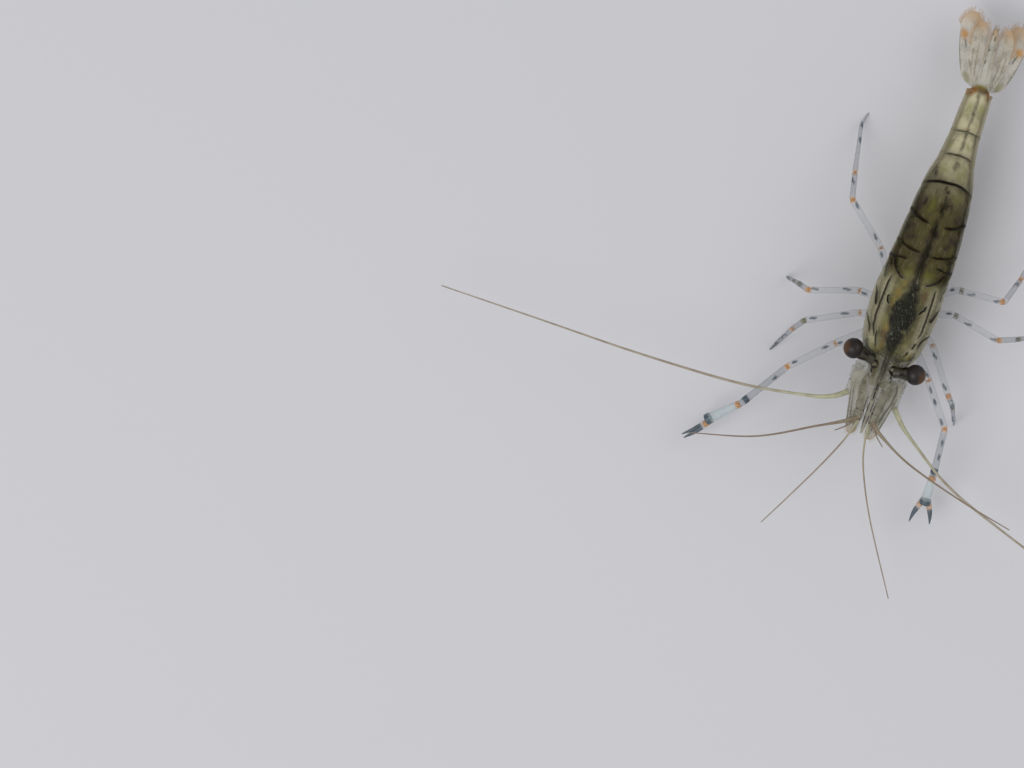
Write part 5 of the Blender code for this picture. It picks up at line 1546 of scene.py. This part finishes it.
def makeSwimmeret(number, side):
    fronts = (body["carapaceBack"], *body["somiteBacks"])
    length = swimmeret["lengths"][number - 1]
    y = (fronts[number - 1] + fronts[number]) / 2 + 0.3
    lean = math.radians(swimmeret["lean"])
    rise = curveAt(body["bellyRise"], y)
    lowX = curveAt(body["halfWidth"], y) * (1 - body["lowInward"])
    inside = lowX - 0.9 - swimmeret["radius"] if rise > 0.3 else 0.5 * lowX
    x = side * min(swimmeret["x"], inside)
    top = curveAt(body["low"], y) + rise - 0.2
    elbow = np.array([x, y + 0.2, top - swimmeret["stalk"]])
    path = [(x, y + back, top + height) for back, height in swimmeret["stalkPath"]]
    stalk = sweep([*path, elbow], swimmeret["stalkRadii"], 14)
    stalk["values"] = {**plainLimb, "warm": np.abs(stalk["points"][:, 2] - elbow[2]) - 0.2}
    forms, roots, ways = [stalk], [], []
    for splay, share in swimmeret["blades"]:
        reach = length * share
        tip = elbow + np.array([side * splay, math.sin(lean) * reach, -math.cos(lean) * reach])
        tip[2] = max(tip[2], swimmeret["clearance"])
        leaf, more, moreWays = swimmeretBlade(elbow + np.array([0, 0, 0.2]), tip, swimmeret["halfWidth"])
        forms.append(leaf)
        roots += more
        ways += moreWays
    node = f"pleopod_{number}_{sideNames[side]}"
    addPiece("limb_" + node, joinForms(forms), "limb", [node])
    fringe = makeBristles(roots, lambda k: ways[k], lambda k: 0.42, 0.016, seed=30 + number)
    addPiece("bristles_" + node, fringe, "bristle")


for number in range(1, 6):
    for side in sideNames:
        makeSwimmeret(number, side)
print("swimmerets made")


# Tail fan

def makeTelson():
    forms = [makeLeaf(telson, 1, rows=80, droop=0.1)]
    for side in sideNames:
        spines = [(y, side * (curveAt(telsonEdge, y) - inset), length, radius)
                  for y, inset, length, radius in telsonSideSpines]
        spines += [(y, side * x, length, radius) for y, x, length, radius in telsonTipSpines]
        for y, x, length, radius in spines:
            lift = 0.22 if y < 41 else 0.05
            place = np.array([x + fanLean * (y - fanRoot), y, leafLevel(telson, y) + lift])
            spine = sweep([place, place + np.array([side * 0.03, length, 0.02])], [radius, 0.012], 6)
            spine["values"] = {"line": far, "warm": far, "tip": far, "moss": far, "veil": 0.5}
            forms.append(spine)
    addPiece("telson_plate", joinForms(forms), "fan", ["telson"])
    count, low = telsonBristles["count"], telson["heights"][1]
    shares = [2 * k / (count - 1) - 1 for k in range(count)]
    roots = [np.array([telsonBristles["halfWidth"] * share + fanLean * 7.1, telsonBristles["y"], low])
             for share in shares]
    ways = [(0.2 * share, 1, 0) for share in shares]
    fringe = makeBristles(roots, lambda k: ways[k], lambda k: 0.75, 0.018, seed=12, orange=0.7)
    addPiece("telson_bristles", fringe, "bristle")


def makeUropod(part, side):
    word, leaf = sideNames[side], dict(uropods[part])
    fall = (telson["heights"][1] - uropodRoot["height"]) / (telson["tip"] - fanRoot)
    root = uropodRoot["height"] - leaf["lower"] * uropodRoot["drop"]
    leaf["heights"] = (root, root + fall * (leaf["tip"] - fanRoot))
    addPiece(f"{part}_plate_{word}", makeLeaf(leaf, side, rows=80), "fan", [f"uropod_{part}_{word}"])
    roots, ways = rimOf(leaf, side, *fringeEnds[part], 0.05)
    fringe = makeBristles(roots, lambda k: ways[k], lambda k: 0.72, 0.02, 0.08, orange=0.9, seed=40 + side)
    addPiece(f"{part}_fringe_{word}", fringe, "bristle")


makeTelson()
for side in sideNames:
    for part in uropods:
        makeUropod(part, side)
print("tail fan made")


# Floor, light and camera

stage = {
    "floorColour": colourOf(197, 197, 200), "skyColour": colourOf(238, 238, 242), "skyStrength": 0.58,
    "floorRoughness": 0.6, "floorGloss": 0.2, "floorSize": 4,
    "lamps": (("key", (-0.25, -0.3, 0.6), 0.5, 2.5), ("fill", (0.4, 0.3, 0.55), 0.6, 1.25)),
}
camera = {"lens": 400, "sensor": 36, "frameWidth": 1024, "pixelsPerMm": 8.54, "middle": (-40.35, -16.85),
          "sharpHeight": 10.0, "turn": 19.44}


def addStage():
    bpy.ops.mesh.primitive_plane_add(size=stage["floorSize"])
    floor = bpy.context.object
    floor.name = "floor"
    material = bpy.data.materials.new("floor")
    material.use_nodes = True
    inputs = material.node_tree.nodes["Principled BSDF"].inputs
    inputs["Base Color"].default_value = stage["floorColour"]
    inputs["Roughness"].default_value = stage["floorRoughness"]
    inputs["Specular IOR Level"].default_value = stage["floorGloss"]
    floor.data.materials.append(material)
    for name, place, size, power in stage["lamps"]:
        lamp = bpy.data.lights.new(name, "AREA")
        lamp.shape = "DISK"
        lamp.size = size
        lamp.energy = power
        holder = bpy.data.objects.new(name, lamp)
        bpy.context.scene.collection.objects.link(holder)
        holder.location = place
        holder.rotation_euler = (-Vector(place)).to_track_quat("-Z", "Y").to_euler()
    world = bpy.data.worlds.new("sky")
    bpy.context.scene.world = world
    world.use_nodes = True
    sky = world.node_tree.nodes["Background"].inputs
    sky["Color"].default_value = stage["skyColour"]
    sky["Strength"].default_value = stage["skyStrength"]
    bpy.context.scene.view_settings.view_transform = "Standard"


# Straight above, turned so that the prawn lies as in the photograph, at the top right of the frame
def addCamera():
    data = bpy.data.cameras.new("camera")
    data.lens = camera["lens"]
    data.sensor_width = camera["sensor"]
    data.clip_end = 10
    holder = bpy.data.objects.new("camera", data)
    bpy.context.scene.collection.objects.link(holder)
    distance = camera["frameWidth"] / camera["pixelsPerMm"] * mm * camera["lens"] / camera["sensor"]
    middle = np.array([*camera["middle"], camera["sharpHeight"]]) * mm + prawnPlace
    holder.location = middle + np.array([0, 0, distance])
    holder.rotation_euler = (0, 0, math.radians(camera["turn"]))
    bpy.context.scene.camera = holder


addStage()
addCamera()
print("scene ready")
